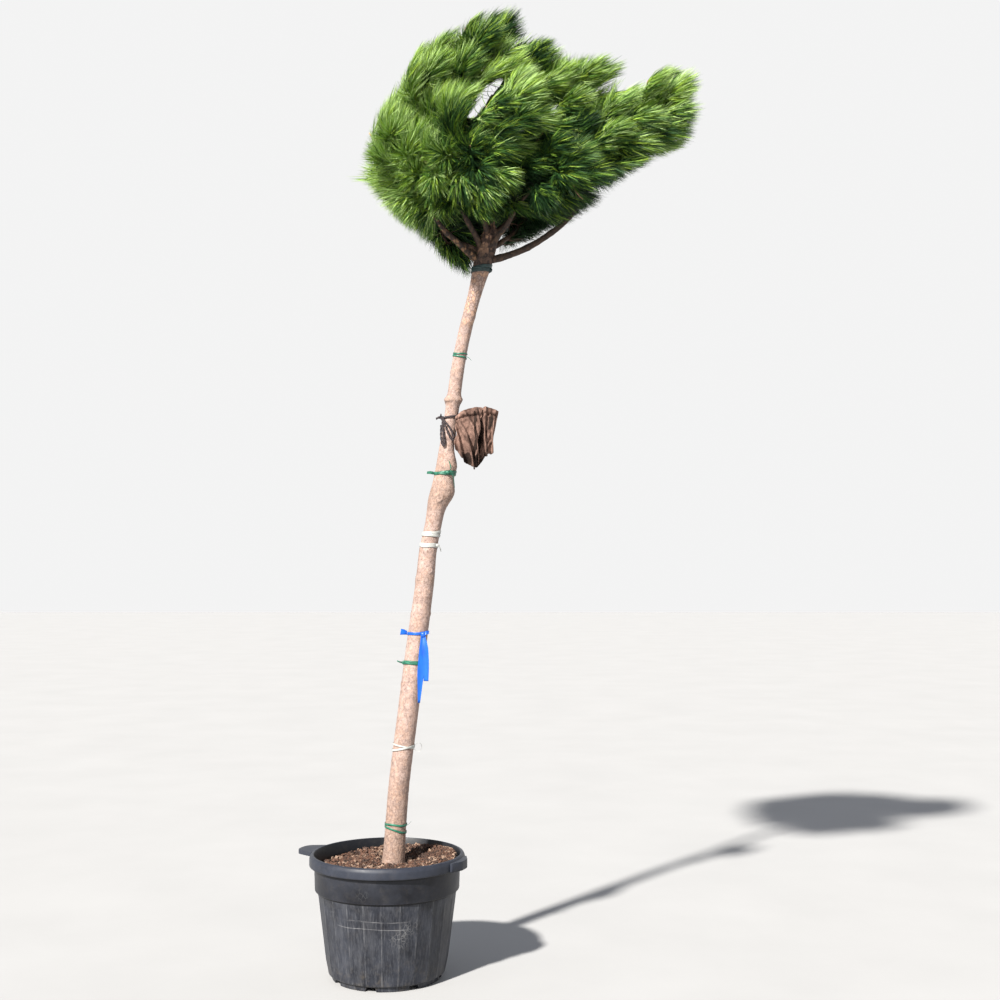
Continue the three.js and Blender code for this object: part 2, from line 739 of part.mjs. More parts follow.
// One mass: a stem that grows on from its fork and as many sprays as it is
// given, each taken where the crown so far is emptiest. A spray that would
// cut through the sprays before it is left out.
function foliageSolid(mass, planes, marks, centres, random) {
  const tip = vector(mass.tip);
  const aim = tip.clone().sub(mass.start).normalize();
  const flat = new THREE.Vector3().crossVectors(aim, UP).normalize();
  const rise = new THREE.Vector3().crossVectors(flat, aim);
  const length = mass.start.distanceTo(tip);
  const reach = stemReach(mass);
  const stem = new THREE.QuadraticBezierCurve3(
    mass.start.clone().addScaledVector(mass.heading, CLEARANCE),
    mass.start.clone().addScaledVector(mass.heading, reach * STEM.bend),
    mass.start.clone().addScaledVector(aim, reach),
  );
  const stemPoints = stem.getPoints(STEM.marks);
  let grown = limb(stem, STEM.footRadius, STEM.tipRadius, STEM.sides, STEM.rings);
  const first = tipSpray(mass, tip, stemPoints, [rise, flat], planes, marks);
  let sprays = first.blade;
  if (first.twig) grown = grown.add(first.twig);
  centres.push(first.centre);
  const fitting = fittingSprays(mass, stemPoints, aim, rise, flat, planes, marks, random);
  for (let made = 1; made < mass.sprays && fitting.length > 0;) {
    const room = (spray) => Math.min(...centres.map((centre) => centre.distanceTo(spray.centre)));
    fitting.sort((one, other) => room(one) - room(other));
    const spray = fitting.pop();
    if (spray.blade.intersect(sprays).volume() > SPACE.crossing) continue;
    sprays = sprays.add(spray.blade);
    if (spray.twig) grown = grown.add(spray.twig);
    centres.push(spray.centre);
    made += 1;
  }
  return grown.add(sprays);
}

// Each mass is cut back to the bough or the trunk that carries it.
function addFoliage() {
  const masses = foliageMasses();
  const marks = limbMarks();
  const random = seeded(SEED);
  const centres = [];
  for (const mass of masses) {
    const leader = mass.name === LEADER_FOLIAGE.name;
    const carrier = leader ? trunkSolid(TRUNK_CLEARANCE) : boughSolid(mass, BOUGH_CLEARANCE);
    const solid = foliageSolid(mass, spaceOf(mass, masses), marks, centres, random);
    addPart(`foliage_${mass.name}`, mainPiece(solid.subtract(carrier)), COLOUR.foliage, 0.7);
  }
}

// ------------------------------------------------------------------- assembly

addPot();
addSoil();
addPart('trunk', trunkSolid(), COLOUR.bark, 0.85);
addBoughs();
addTies();
addRibbon();
addCloth();
addFoliage();

export default plant;
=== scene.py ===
"""An Italian stone pine in a nursery pot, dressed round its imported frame.

A long bare leaning stem carries a windswept crown of boughs, twigs and long
needles. Plant sizes below are in millimetres, and MM turns them into metres.
"""

import math

import bmesh
import bpy
import numpy as np
from mathutils import Matrix, Vector


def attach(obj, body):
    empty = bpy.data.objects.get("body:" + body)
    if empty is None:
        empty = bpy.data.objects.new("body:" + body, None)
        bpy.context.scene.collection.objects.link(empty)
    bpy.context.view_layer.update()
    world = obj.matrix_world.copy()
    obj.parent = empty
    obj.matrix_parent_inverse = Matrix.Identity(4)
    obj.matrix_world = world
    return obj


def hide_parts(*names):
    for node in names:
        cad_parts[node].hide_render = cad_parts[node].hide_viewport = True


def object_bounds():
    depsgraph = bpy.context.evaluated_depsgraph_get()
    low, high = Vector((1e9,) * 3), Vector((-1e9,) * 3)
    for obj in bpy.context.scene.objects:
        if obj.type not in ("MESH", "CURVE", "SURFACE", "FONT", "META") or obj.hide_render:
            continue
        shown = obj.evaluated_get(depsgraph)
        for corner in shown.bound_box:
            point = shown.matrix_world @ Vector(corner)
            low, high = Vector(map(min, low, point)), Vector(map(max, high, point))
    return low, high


bl_info = {
    "name": "Stone Pine in a Pot",
    "version": (1, 0, 0),
    "blender": (4, 5, 0),
    "location": "3D View > Sidebar > Stone Pine",
    "description": "Builds a potted Italian stone pine with bark, needles and ties",
    "category": "Add Mesh",
}

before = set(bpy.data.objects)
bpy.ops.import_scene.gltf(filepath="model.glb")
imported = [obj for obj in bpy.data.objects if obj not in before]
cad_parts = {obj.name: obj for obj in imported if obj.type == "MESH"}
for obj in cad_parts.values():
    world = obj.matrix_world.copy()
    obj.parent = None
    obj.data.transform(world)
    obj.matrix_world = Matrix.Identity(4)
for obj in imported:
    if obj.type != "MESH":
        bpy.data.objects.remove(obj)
CAD_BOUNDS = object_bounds()

MM = 0.001
TURN = 2 * math.pi
UNENDING = 99  # a period that noise over an open line or field never comes round to

# ------------------------------------------------------------ driving sizes

POT = {
    "height": 470, "rim_radius": 300, "rim_height": 42, "rim_lip": 17,
    "band_radius": 281, "band_bottom": 335, "band_draft": 3,
    "wall_top_radius": 268, "wall_bend_radius": 236, "wall_bend_height": 80,
    "wall_foot_radius": 224, "foot_radius": 210, "foot_height": 22, "wall": 8, "floor": 26,
    "rim_bevel": (5, 14), "rim_crown": (11, 3), "corner": 3.5, "panel_fade": 12, "steps": 240,
}
EAR = {"width": 150, "drop": 7, "edge": 1.6, "spine": 5.5, "corner": 14}
EARS = [(-20, 22, 34, 24), (160, 74, 16, 26)]  # the way each faces, its reach, depth, taper
NOTCH = {"count": 8, "width": 38, "depth": 40, "height": 16, "turn": -101.5}
SOIL = {
    "middle": 426, "edge": 446, "flat_radius": 95, "rise_radius": 250, "heap": 24, "sink": 12,
    "lump_height": 3.2, "lump_length": 34, "lumps_around": 22, "skirt": 60,
}
CHIP = {"least": [4, 3, 1.5], "most": [16, 10, 5.5], "lean": 0.7, "reach": 262, "stem_room": 5}

TRUNK = {
    "foot": (23, 0, 426.35), "whorl": (372, 0, 2776), "tip": (425, -40, 3220), "bow": 0.48,
    "foot_radius": 40.5, "neck_radius": 26, "tip_radius": 7,
    "flare": 6, "flare_height": 45, "taper_start": 0.25, "taper_end": 0.85,
}
BENDS = [(2440, -17, 250), (1640, -7, 90), (720, -5.5, 200)]  # height, shift, spread
KNOTS = [  # height, swell, spread, the way it faces in degrees or None for all round
    (1862, 30, 50, 0), (1962, 24, 50, 0), (1835, 7, 60, 180), (1525, 3, 20, -150),
    (2228, 8.5, 15, None), (2790, 12, 95, None), (2862, 7, 50, None),
]

BOUGH_TIP_RADIUS = 7
# Each limb: name, height where it leaves the trunk, shares of its run and of
# its rise before the bend, foot radius, fork, tip of its foliage, width and
# depth of its foliage.
LIMBS = [
    ("right", 2778, 0.85, 0.16, 15, (805, -40, 3165), (1240, -5, 3500), 430, 400),
    ("left", 2768, 0.7, 0.5, 15, (165, -95, 2950), (-130, -20, 3100), 360, 360),
    ("left_centre", 2800, 0.35, 0.42, 14.5, (250, -125, 3010), (-60, -175, 3330), 400, 360),
    ("right_centre", 2805, 0.5, 0.45, 14, (512, -135, 2975), (850, -310, 3040), 380, 400),
    ("low_left", 2812, 0.6, 0.35, 12, (205, 25, 2905), (285, 125, 2740), 320, 330),
    ("low_right", 2822, 0.6, 0.35, 12, (535, 110, 2975), (795, 165, 3025), 260, 330),
    ("front", 2870, 0.55, 0.35, 11, (352, -160, 3000), (385, -490, 3120), 460, 440),
    ("front_upper", 2980, 0.5, 0.4, 10, (415, -150, 3165), (500, -430, 3400), 420, 440),
    ("back_left", 2850, 0.5, 0.35, 12, (205, 165, 3015), (-60, 340, 3235), 400, 400),
    ("back_right", 2880, 0.5, 0.35, 12, (565, 170, 3085), (890, 385, 3345), 420, 400),
    ("back", 2925, 0.5, 0.35, 11, (385, 200, 3080), (425, 500, 3300), 440, 400),
    ("top_left", 2960, 0.5, 0.4, 11, (230, -85, 3175), (150, -95, 3625), 400, 380),
    ("top", 3020, 0.5, 0.35, 10, (310, -75, 3235), (465, -55, 3775), 440, 380),
    ("upper_right", 3010, 0.6, 0.3, 10, (560, -30, 3215), (950, 0, 3600), 360, 360),
    ("back_top", 3060, 0.5, 0.35, 9, (370, 95, 3265), (425, 225, 3670), 420, 400),
]
LEADER_FOLIAGE = ("upper_centre", (690, -65, 3640), 380, 360)

# ------------------------------------------------------------------ numbers


def hump(height, centre, spread):
    """A smooth hump of one at centre that dies away over spread."""
    return np.exp(-(((height - centre) / spread) ** 2))


def smoothstep(low, high, value):
    share = np.clip((value - low) / (high - low), 0, 1)
    return share * share * (3 - 2 * share)


def unit(rows):
    return rows / np.linalg.norm(rows, axis=-1, keepdims=True)


def length_of(line):
    """The length of a line of points, and of each of its stretches."""
    spans = np.linalg.norm(np.diff(line, axis=0), axis=1)
    return spans.sum(), spans


def read_off(values, marks, shares):
    """Each column of values, which stand at marks, read off at the shares."""
    return np.stack([np.interp(shares, marks, column) for column in np.asarray(values).T], axis=-1)


def curve(start, bend, end, shares):
    return (1 - shares) ** 2 * start + 2 * shares * (1 - shares) * bend + shares**2 * end


def smooth_line(points, density, rounds):
    """The points filled in to `density` times as many, with rounded corners.
    Also gives where each lies along the given ones."""
    points = np.array(points, float)
    rows = np.linspace(0, len(points) - 1, len(points) * density)
    line = read_off(points, np.arange(len(points)), rows)
    for _ in range(rounds):
        line[1:-1] = (line[:-2] + 2 * line[1:-1] + line[2:]) / 4
    return line, rows


def mixed_hash(column, row, seed):
    """A repeatable number from 0 to 1 for each whole column and row."""
    mixed = (column * 374761393 + row * 668265263 + seed * 1442695041) & 0xFFFFFFFF
    mixed = ((mixed ^ (mixed >> 13)) * 1274126177) & 0xFFFFFFFF
    return ((mixed ^ (mixed >> 16)) & 0xFFFFFF) / 0xFFFFFF


def soft_noise(around, along, period, seed):
    """Smooth noise from -1 to 1 that repeats every `period` cells of around."""
    column = np.floor(around).astype(np.int64)
    row = np.floor(along).astype(np.int64)
    side = smoothstep(0, 1, around - column)
    up = smoothstep(0, 1, along - row)
    corner = [
        mixed_hash((column + i) % period, row + j, seed) for j in (0, 1) for i in (0, 1)
    ]
    low = corner[0] + (corner[1] - corner[0]) * side
    high = corner[2] + (corner[3] - corner[2]) * side
    return (low + (high - low) * up) * 2 - 1


def plates(around, along, period, seed):
    """Distance to the edge of the nearest bark plate, and that plate's number."""
    column = np.floor(around).astype(np.int64)
    row = np.floor(along).astype(np.int64)
    nearest = np.full(around.shape, 9.0)
    second = np.full(around.shape, 9.0)
    number = np.zeros(around.shape)
    for i in (-1, 0, 1):
        for j in (-1, 0, 1):
            home = (column + i) % period
            centre_x = column + i + 0.15 + 0.7 * mixed_hash(home, row + j, seed)
            centre_y = row + j + 0.15 + 0.7 * mixed_hash(home, row + j, seed + 7)
            away = np.hypot(around - centre_x, along - centre_y)
            closer = away < nearest
            second = np.where(closer, nearest, np.minimum(second, away))
            number = np.where(closer, mixed_hash(home, row + j, seed + 13), number)
            nearest = np.where(closer, away, nearest)
    return second - nearest, number


# ------------------------------------------------------------- trunk's form


def trunk_middle(height):
    """The middle of the trunk and its leader at each height, in millimetres."""
    height = np.asarray(height, float)
    foot, whorl, tip = (np.array(TRUNK[key], float) for key in ("foot", "whorl", "tip"))
    rise = np.minimum((height - foot[2]) / (whorl[2] - foot[2]), 1)
    above = np.maximum((height - whorl[2]) / (tip[2] - whorl[2]), 0)
    swing = (1 - TRUNK["bow"]) * rise + TRUNK["bow"] * rise * rise
    across = foot[0] + (whorl[0] - foot[0]) * swing
    across = across + (tip[0] - whorl[0]) * (1 - (1 - above) ** 2)
    for centre, shift, spread in BENDS:
        across = across + shift * hump(height, centre, spread)
    depth = foot[1] + (tip[1] - whorl[1]) * above**2
    return np.stack([across, depth + 0 * height, height], axis=-1)


def trunk_radius(height, angle):
    """The trunk's radius at each height and angle, in millimetres."""
    foot, whorl, tip = TRUNK["foot"][2], TRUNK["whorl"][2], TRUNK["tip"][2]
    rise = (height - foot) / (whorl - foot)
    above = np.maximum(height - whorl, 0) / (tip - whorl)
    taper = smoothstep(TRUNK["taper_start"], TRUNK["taper_end"], rise)
    radius = TRUNK["foot_radius"] + (TRUNK["neck_radius"] - TRUNK["foot_radius"]) * taper
    radius = radius + (TRUNK["tip_radius"] - radius) * above
    radius = radius + TRUNK["flare"] * np.exp(-(height - foot) / TRUNK["flare_height"])
    for centre, swell, spread, facing in KNOTS:
        turn = 0 if facing is None else angle - math.radians(facing)
        radius = radius + swell * hump(height, centre, spread) * np.cos(turn / 2) ** 4
    return radius


def on_trunk(angle, height, lift):
    """Points that stand `lift` millimetres off the trunk's surface, in metres."""
    angle, height, lift = np.broadcast_arrays(angle, height, lift)
    middle = trunk_middle(height)
    radius = trunk_radius(height, angle) + lift
    offset = np.stack([radius * np.cos(angle), radius * np.sin(angle), 0 * radius], axis=-1)
    return (middle + offset) * MM


# ------------------------------------------------------------------- curves


def bend_curve(start, bend, end, shares):
    """Points along a quadratic curve, and the way it heads at each."""
    shares = np.asarray(shares, float)[:, None]
    heading = 2 * (1 - shares) * (bend - start) + 2 * shares * (end - bend)
    return curve(start, bend, end, shares), unit(heading)


def bough_line(limb, shares):
    """Points, headings and radii along a bough, in millimetres."""
    _, leaves, out, lift, foot_radius, fork = limb[:6]
    start = trunk_middle(leaves)
    end = np.array(fork, float)
    bend = start + (end - start) * np.array([out, out, lift])
    points, heading = bend_curve(start, bend, end, shares)
    radii = foot_radius + (BOUGH_TIP_RADIUS - foot_radius) * np.asarray(shares, float)
    return points, heading, radii


def side_frames(line):
    """The heading at each point of a line, and two directions across it that
    turn as little as they can."""
    heading = unit(np.gradient(line, axis=0))
    across = np.empty_like(heading)
    guide = np.array([0.31, 0.87, 0.38])
    for k, along in enumerate(heading):
        guide = guide - along * guide.dot(along)
        guide = guide / np.linalg.norm(guide)
        across[k] = guide
    return heading, across, np.cross(heading, across)


# ------------------------------------------------------------ making meshes


def finish_piece(name, mesh, materials, smooth=True):
    """Links a mesh as a piece that rides with the pot and the plant."""
    for material in materials:
        mesh.materials.append(material)
    mesh.polygons.foreach_set("use_smooth", np.full(len(mesh.polygons), smooth))
    piece = bpy.data.objects.new(name, mesh)
    bpy.context.scene.collection.objects.link(piece)
    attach(piece, "root")
    return piece


def piece_of(name, shape, materials):
    """Turns a finished bmesh into a piece."""
    mesh = bpy.data.meshes.new(name)
    shape.to_mesh(mesh)
    shape.free()
    if not mesh.polygons:
        raise RuntimeError(f"{name} has no faces")
    return finish_piece(name, mesh, materials)


def piece_of_arrays(name, corners, faces, tones, materials, smooth=False):
    """Joins many small things into one piece. faces is a list of arrays of
    corner numbers, each with its own count of corners to a face, and tones
    gives the material of each face in the same order."""
    mesh = bpy.data.meshes.new(name)
    sizes = np.concatenate([np.full(len(group), group.shape[1]) for group in faces])
    mesh.vertices.add(len(corners))
    mesh.vertices.foreach_set("co", np.ascontiguousarray(corners, np.float32).ravel())
    mesh.loops.add(int(sizes.sum()))
    mesh.loops.foreach_set("vertex_index", np.concatenate([group.ravel() for group in faces]))
    mesh.polygons.add(len(sizes))
    mesh.polygons.foreach_set("loop_start", np.concatenate([[0], np.cumsum(sizes)[:-1]]))
    mesh.polygons.foreach_set("material_index", np.concatenate(tones))
    mesh.update(calc_edges=True)
    return finish_piece(name, mesh, materials, smooth)


def wrapped_grid(around, along, place, layers=(), closed=False):
    """A grid bent round so that its left edge meets its right one. place gets
    an angle and a share from 0 to 1 for each point, and gives its place and
    then one value for each named layer. A closed grid also meets its own ends."""
    shape = bmesh.new()
    bmesh.ops.create_grid(shape, x_segments=around, y_segments=along, size=0.5)
    shape.verts.ensure_lookup_table()
    flat = np.array([vert.co[:2] for vert in shape.verts]) + 0.5
    results = place(flat[:, 0] * TURN, flat[:, 1])
    places, values = (results[0], results[1:]) if layers else (results, ())
    stores = [shape.verts.layers.float.new(layer) for layer in layers]
    for k, vert in enumerate(shape.verts):
        vert.co = places[k]
        for store, value in zip(stores, values):
            vert[store] = value[k]
    bmesh.ops.remove_doubles(shape, verts=shape.verts, dist=1e-6)
    if not closed:
        rims = [edge for edge in shape.edges if edge.is_boundary]
        bmesh.ops.holes_fill(shape, edges=rims, sides=0)
    bmesh.ops.recalc_face_normals(shape, faces=shape.faces)
    return shape


def tube_place(points, radii, bumps=None):
    """A place function for a tube along a line of points, in millimetres."""
    _, across, beside = side_frames(points)
    marks = np.linspace(0, 1, len(points))

    def place(angle, share):
        radius = np.interp(share, marks, radii)
        values = bumps(angle, share) if bumps else None
        if values:
            radius = radius + values[0]
        offset = read_off(across, marks, share) * np.cos(angle)[:, None]
        offset = offset + read_off(beside, marks, share) * np.sin(angle)[:, None]
        places = (read_off(points, marks, share) + offset * radius[:, None]) * MM
        return (places, *values[1:]) if values else places

    return place


def join_shapes(shapes):
    """One bmesh that holds all of them."""
    whole = bmesh.new()
    for shape in shapes:
        mesh = bpy.data.meshes.new("part_of_piece")
        shape.to_mesh(mesh)
        shape.free()
        whole.from_mesh(mesh)
        bpy.data.meshes.remove(mesh)
    return whole


# ---------------------------------------------------------------- materials


class Finish:
    """A node material for one finish, with a Principled shader at its end."""

    def __init__(self, name, roughness, **sockets):
        self.material = bpy.data.materials.new(name)
        self.material.use_nodes = True
        self.nodes = self.material.node_tree.nodes
        self.links = self.material.node_tree.links
        self.shader = self.nodes["Principled BSDF"]
        self.shader.inputs["Roughness"].default_value = roughness
        for socket, value in sockets.items():
            self.shader.inputs[socket.replace("_", " ")].default_value = value
        self.place = self.nodes.new("ShaderNodeTexCoord").outputs["Object"]

    def node(self, kind, inputs, **settings):
        """A new node, with each input linked where its value is a socket."""
        node = self.nodes.new(f"ShaderNode{kind}")
        for key, value in settings.items():
            setattr(node, key, value)
        for key, value in inputs.items():
            if isinstance(value, bpy.types.NodeSocket):
                self.links.new(value, node.inputs[key])
            else:
                node.inputs[key].default_value = value
        return node

    def stretched(self, scale):
        return self.node("Mapping", {"Vector": self.place, "Scale": scale}).outputs["Vector"]

    def noise(self, scale, detail=4, rough=0.55, stretch=None):
        place = self.stretched(stretch) if stretch else self.place
        inputs = {"Vector": place, "Scale": scale, "Detail": detail, "Roughness": rough}
        return self.node("TexNoise", inputs).outputs["Fac"]

    def cells(self, scale, stretch, feature="F1", output="Distance"):
        inputs = {"Vector": self.stretched(stretch), "Scale": scale}
        return self.node("TexVoronoi", inputs, feature=feature).outputs[output]

    def attribute(self, name):
        return self.node("Attribute", {}, attribute_name=name).outputs["Fac"]

    def ramp(self, value, *stops):
        """The value read through stops, each a share and a colour or a grey."""
        node = self.node("ValToRGB", {"Fac": value})
        elements = node.color_ramp.elements
        while len(elements) < len(stops):
            elements.new(0.5)
        for element, (share, colour) in zip(elements, stops):
            element.position = share
            element.color = (*colour, 1) if isinstance(colour, tuple) else (colour,) * 3 + (1,)
        return node.outputs["Color"]

    def mix(self, share, first, second, kind="MIX"):
        first, second = (
            (*value, 1) if isinstance(value, tuple) else value for value in (first, second))
        inputs = {0: share, 6: first, 7: second}
        return self.node("Mix", inputs, data_type="RGBA", blend_type=kind).outputs[2]

    def laid(self, body, colour, *shares):
        """The body with a colour laid on where every one of the shares tells."""
        share = shares[0]
        for other in shares[1:]:
            share = self.mix(1.0, share, other, kind="MULTIPLY")
        return self.mix(share, body, colour)

    def number(self, kind, first, second):
        return self.node("Math", {0: first, 1: second}, operation=kind).outputs[0]

    def axis(self, name):
        return self.node("SeparateXYZ", {0: self.place}).outputs[name]

    def between(self, value, low, high):
        """How far a value lies from low to high, from 0 to 1."""
        inputs = {"Value": value, "From Min": low, "From Max": high}
        return self.node("MapRange", inputs).outputs["Result"]

    def fade(self, value, low, high, first, last):
        """A share that goes from first to last while the value goes from low to high."""
        return self.ramp(self.between(value, low, high), (0.0, first), (1.0, last))

    def away_from(self, point, place=None):
        inputs = {0: place or self.place, 1: point}
        return self.node("VectorMath", inputs, operation="DISTANCE").outputs["Value"]

    def colour(self, source):
        self.links.new(source, self.shader.inputs["Base Color"])

    def bump(self, source, strength, distance):
        node = self.node("Bump", {"Height": source, "Strength": strength, "Distance": distance})
        before = self.shader.inputs["Normal"]
        if before.is_linked:
            self.links.new(before.links[0].from_socket, node.inputs["Normal"])
        self.links.new(node.outputs["Normal"], before)


DUST = (  # streaks on the pot's wall: noise stretch and roughness, ramp, colour
    ((7, 7, 0.8), 0.6, (0.74, 0.42), (0.075, 0.078, 0.088)),
    ((38, 38, 2.2), 0.7, (0.72, 0.48), (0.085, 0.088, 0.097)),
)
PAINTED_INNER_SHADE = (  # painted shade inside the pot: radii and depth, heights, colour
    (0.2745, 0.2825, 0.85, 0.336, 0.34, (0.003, 0.003, 0.0045)),
    (0.2825, 0.2845, 0.8, 0.429, 0.432, (0.004, 0.0045, 0.006)),
)
SHADOW_LINES = ((0.4125, 0.43), (0.3215, 0.3365))  # heights of painted shadow lines, under the rim and the band


def pot_plastic(panels):
    """Black blow-moulded plastic, greyed by dust, worn along the panels' edges
    and scuffed along and down."""
    finish = Finish("black_pot_plastic", 0.45, Specular_IOR_Level=0.26)
    height = finish.axis("Z")
    blotches = finish.noise(9, 7, 0.65)
    body = finish.ramp(blotches, (0.36, (0.007, 0.0078, 0.0115)), (0.7, (0.026, 0.029, 0.039)))
    broken = finish.ramp(finish.noise(14, 5, 0.7), (0.4, 0.0), (0.62, 0.8))
    body = pot_dust(finish, body, height, broken, panels)
    body = pot_scratches(finish, body, height, broken)
    body = pot_shades(finish, body, height)
    grains = finish.ramp(finish.noise(30, 8, 0.75), (0.5, 0.0), (0.68, 0.6))
    body = finish.laid(body, (0.12, 0.1, 0.075), grains, finish.fade(height, 0.0, 0.12, 0.7, 0.12))
    finish.colour(body)
    worn = finish.ramp(blotches, (0.3, 0.34), (0.75, 0.58))
    finish.links.new(worn, finish.shader.inputs["Roughness"])
    finish.bump(finish.noise(180, 3), 0.12, 0.0006)
    finish.bump(finish.noise(14, 4), 0.3, 0.004)
    return finish.material


def pot_dust(finish, body, height, broken, panels):
    """Lays streaks of dust on the wall and wear on the edges of its panels."""
    on_wall = finish.fade(height, 0.33, 0.335, 1.0, 0.0)
    for stretch, rough, stop, shade in DUST:
        streaks = finish.ramp(finish.noise(5, 6, rough, stretch), (0.48, 0.0), stop)
        body = finish.laid(body, shade, streaks, on_wall)
    angle = finish.number("ARCTAN2", finish.axis("Y"), finish.axis("X"))
    turns = finish.number("MULTIPLY", angle, panels / TURN)
    ridge = finish.ramp(finish.number("PINGPONG", turns, 0.5), (0.0, 0.75), (0.06, 0.0))
    return finish.laid(body, (0.11, 0.113, 0.12), ridge, broken, on_wall)


def pot_shades(finish, body, height):
    """Lays a bluer tone on the rim as a painted highlight, painted shade inside the pot above the
    band and inside the rim, and a painted shadow line under the rim and under the band."""
    # Painted highlight: a lighter, bluer tone on the rim stands in for the sky's gleam on it.
    rim = finish.fade(height, 0.43, 0.436, 0.0, 0.3)
    body = finish.laid(body, (0.03, 0.037, 0.056), rim)
    reach = finish.away_from((0, 0, 0), finish.stretched((1, 1, 0)))
    # Painted shade inside the pot, on its inner wall and the inside of its rim.
    for near, far, deepest, low, high, shade in PAINTED_INNER_SHADE:
        painted_shade_share = finish.fade(reach, near, far, deepest, 0.0)
        above = finish.fade(height, low, high, 0.0, 1.0)
        body = finish.laid(body, shade, painted_shade_share, above)
    # Painted shadow lines under the rim and under the band.
    for low, high in SHADOW_LINES:
        line = finish.ramp(
            finish.between(height, low, high), (0.3, 0.0), (0.55, 0.9), (0.88, 0.9), (0.94, 0.0))
        body = finish.laid(body, (0.002, 0.002, 0.003), line)
    return body


# Nets of scuffs on the pot: the middle of each and its reach, in metres.
SCUFFS = [((0.1, -0.22, 0.24), 0.05), ((0.062, -0.23, 0.2), 0.045),
          ((-0.07, -0.26, 0.37), 0.03), ((-0.18, -0.15, 0.3), 0.05)]


def pot_scratches(finish, body, height, broken):
    """Lays two wandering scratches and some nets of scuffs on the pot's front."""
    wander = finish.number("MULTIPLY", finish.noise(5, 3), 0.35)
    level = finish.number("ADD", finish.between(height, 0.215, 0.295), wander)
    lines = finish.ramp(
        level, (0.45, 0.0), (0.475, 0.9), (0.5, 0.0), (0.81, 0.0), (0.8375, 0.9), (0.865, 0.0))
    span = finish.between(finish.axis("X"), -0.175, 0.115)
    span = finish.ramp(span, (0.0, 0.0), (0.06, 1.0), (0.94, 1.0), (1.0, 0.0))
    front = finish.fade(finish.axis("Y"), -0.1, 0.0, 1.0, 0.0)
    body = finish.laid(body, (0.21, 0.21, 0.215), lines, span, front, broken)
    net = finish.ramp(finish.cells(85, (1, 1, 0.7), "DISTANCE_TO_EDGE"), (0.0, 0.9), (0.09, 0.0))
    for point, reach in SCUFFS:
        near = finish.between(finish.away_from(point), 0.0, reach)
        near = finish.ramp(near, (0.3, 0.9), (1.0, 0.0))
        body = finish.laid(body, (0.22, 0.22, 0.22), near, net, broken)
    return body


def trunk_bark(name, low_tone, high_tone, speck_tone, old_tone, neck_shade_tone, flake_tone):
    """Finely flaked bark: a mottled ground, dark specks, browner where old, and darkest at the neck,
    where painted shade of the crown is laid. Single light flakes stand out, partly the bark's own
    colour and partly painted highlight."""
    finish = Finish(name, 0.8)
    age_and_shade, flakes_and_highlight = finish.attribute("age_and_shade"), finish.attribute("flakes_and_highlight")
    mottle = finish.noise(28, 8, 0.7)
    body = finish.ramp(mottle, (0.32, low_tone), (0.64, high_tone))
    body = finish.laid(body, old_tone, finish.ramp(age_and_shade, (0.1, 0.0), (0.95, 0.75)))
    flecks = finish.noise(118, 8, 0.8, (1, 1, 0.75))
    body = finish.laid(body, speck_tone, finish.ramp(flecks, (0.46, 0.0), (0.62, 0.8)))
    flakes = finish.noise(210, 5, 0.7, (1, 1, 1.6))
    body = finish.laid(body, high_tone, finish.ramp(flakes, (0.56, 0.0), (0.68, 0.5)))
    patches = finish.noise(13, 5, stretch=(1, 1, 0.6))
    body = finish.laid(body, speck_tone, finish.ramp(patches, (0.56, 0.0), (0.74, 0.4)))
    # Painted shade: the neck under the crown is laid nearly black.
    body = finish.laid(body, neck_shade_tone, finish.ramp(age_and_shade, (0.7, 0.0), (0.9, 0.97)))
    # Light flakes: partly the bark's own colour, partly painted highlight.
    lit = finish.ramp(finish.cells(85, (1, 1, 0.75), output="Color"), (0.4, 0.0), (0.75, 0.85))
    body = finish.laid(body, flake_tone, lit, flakes_and_highlight)
    seams = finish.cells(85, (1, 1, 0.75), "DISTANCE_TO_EDGE")
    body = finish.laid(body, speck_tone, finish.ramp(seams, (0.0, 0.85), (0.16, 0.0)), flakes_and_highlight)
    shade = finish.ramp(finish.attribute("crack"), (0.15, 0.0), (1.0, 0.85))
    finish.colour(finish.laid(body, speck_tone, shade))
    finish.bump(flecks, 0.8, 0.0026)
    finish.bump(mottle, 0.4, 0.003)
    return finish.material


def needle_green(name, colour):
    """One plain green of needles, with a slight waxy gloss."""
    return Finish(name, 0.5, Specular_IOR_Level=0.25, Base_Color=(*colour, 1)).material


def two_toned(name, grain, dark, light, bump, roughness, **sockets):
    """A finish that goes from dark to light with a grain, which is the scale,
    detail and stretch of its noise and two shares, and stands out with it."""
    finish = Finish(name, roughness, **sockets)
    scale, detail, stretch, low, high = grain
    pattern = finish.noise(scale, detail, stretch=stretch)
    body = finish.ramp(pattern, (low, dark), (high, light))
    if bump:
        finish.bump(pattern, *bump)
    finish.colour(body)
    return finish, body


def twig_bark(name, dark, light):
    finish, _ = two_toned(name, (140, 4, None, 0.35, 0.7), dark, light, None, 0.78)
    finish.bump(finish.cells(260, (1, 1, 0.5)), 0.6, 0.001)
    return finish.material


def chip_bark(name, dark, light):
    """Bark chips, each with its own mottling."""
    grain = (120, 5, (1, 1.6, 3), 0.3, 0.7)
    finish, body = two_toned(name, grain, dark, light, (0.6, 0.0015), 0.85)
    patch = finish.ramp(finish.noise(30, 3), (0.45, 0.0), (0.65, 0.6))
    finish.colour(finish.laid(body, dark, patch))
    return finish.material


def tape_plastic(name, colour, pale):
    """Stretchy tie tape, creased, with paler stretched places."""
    creases = (55, 4, (1, 1, 3), 0.4, 0.75)
    return two_toned(name, creases, colour, pale, (0.45, 0.0012), 0.42, IOR=1.48)[0].material


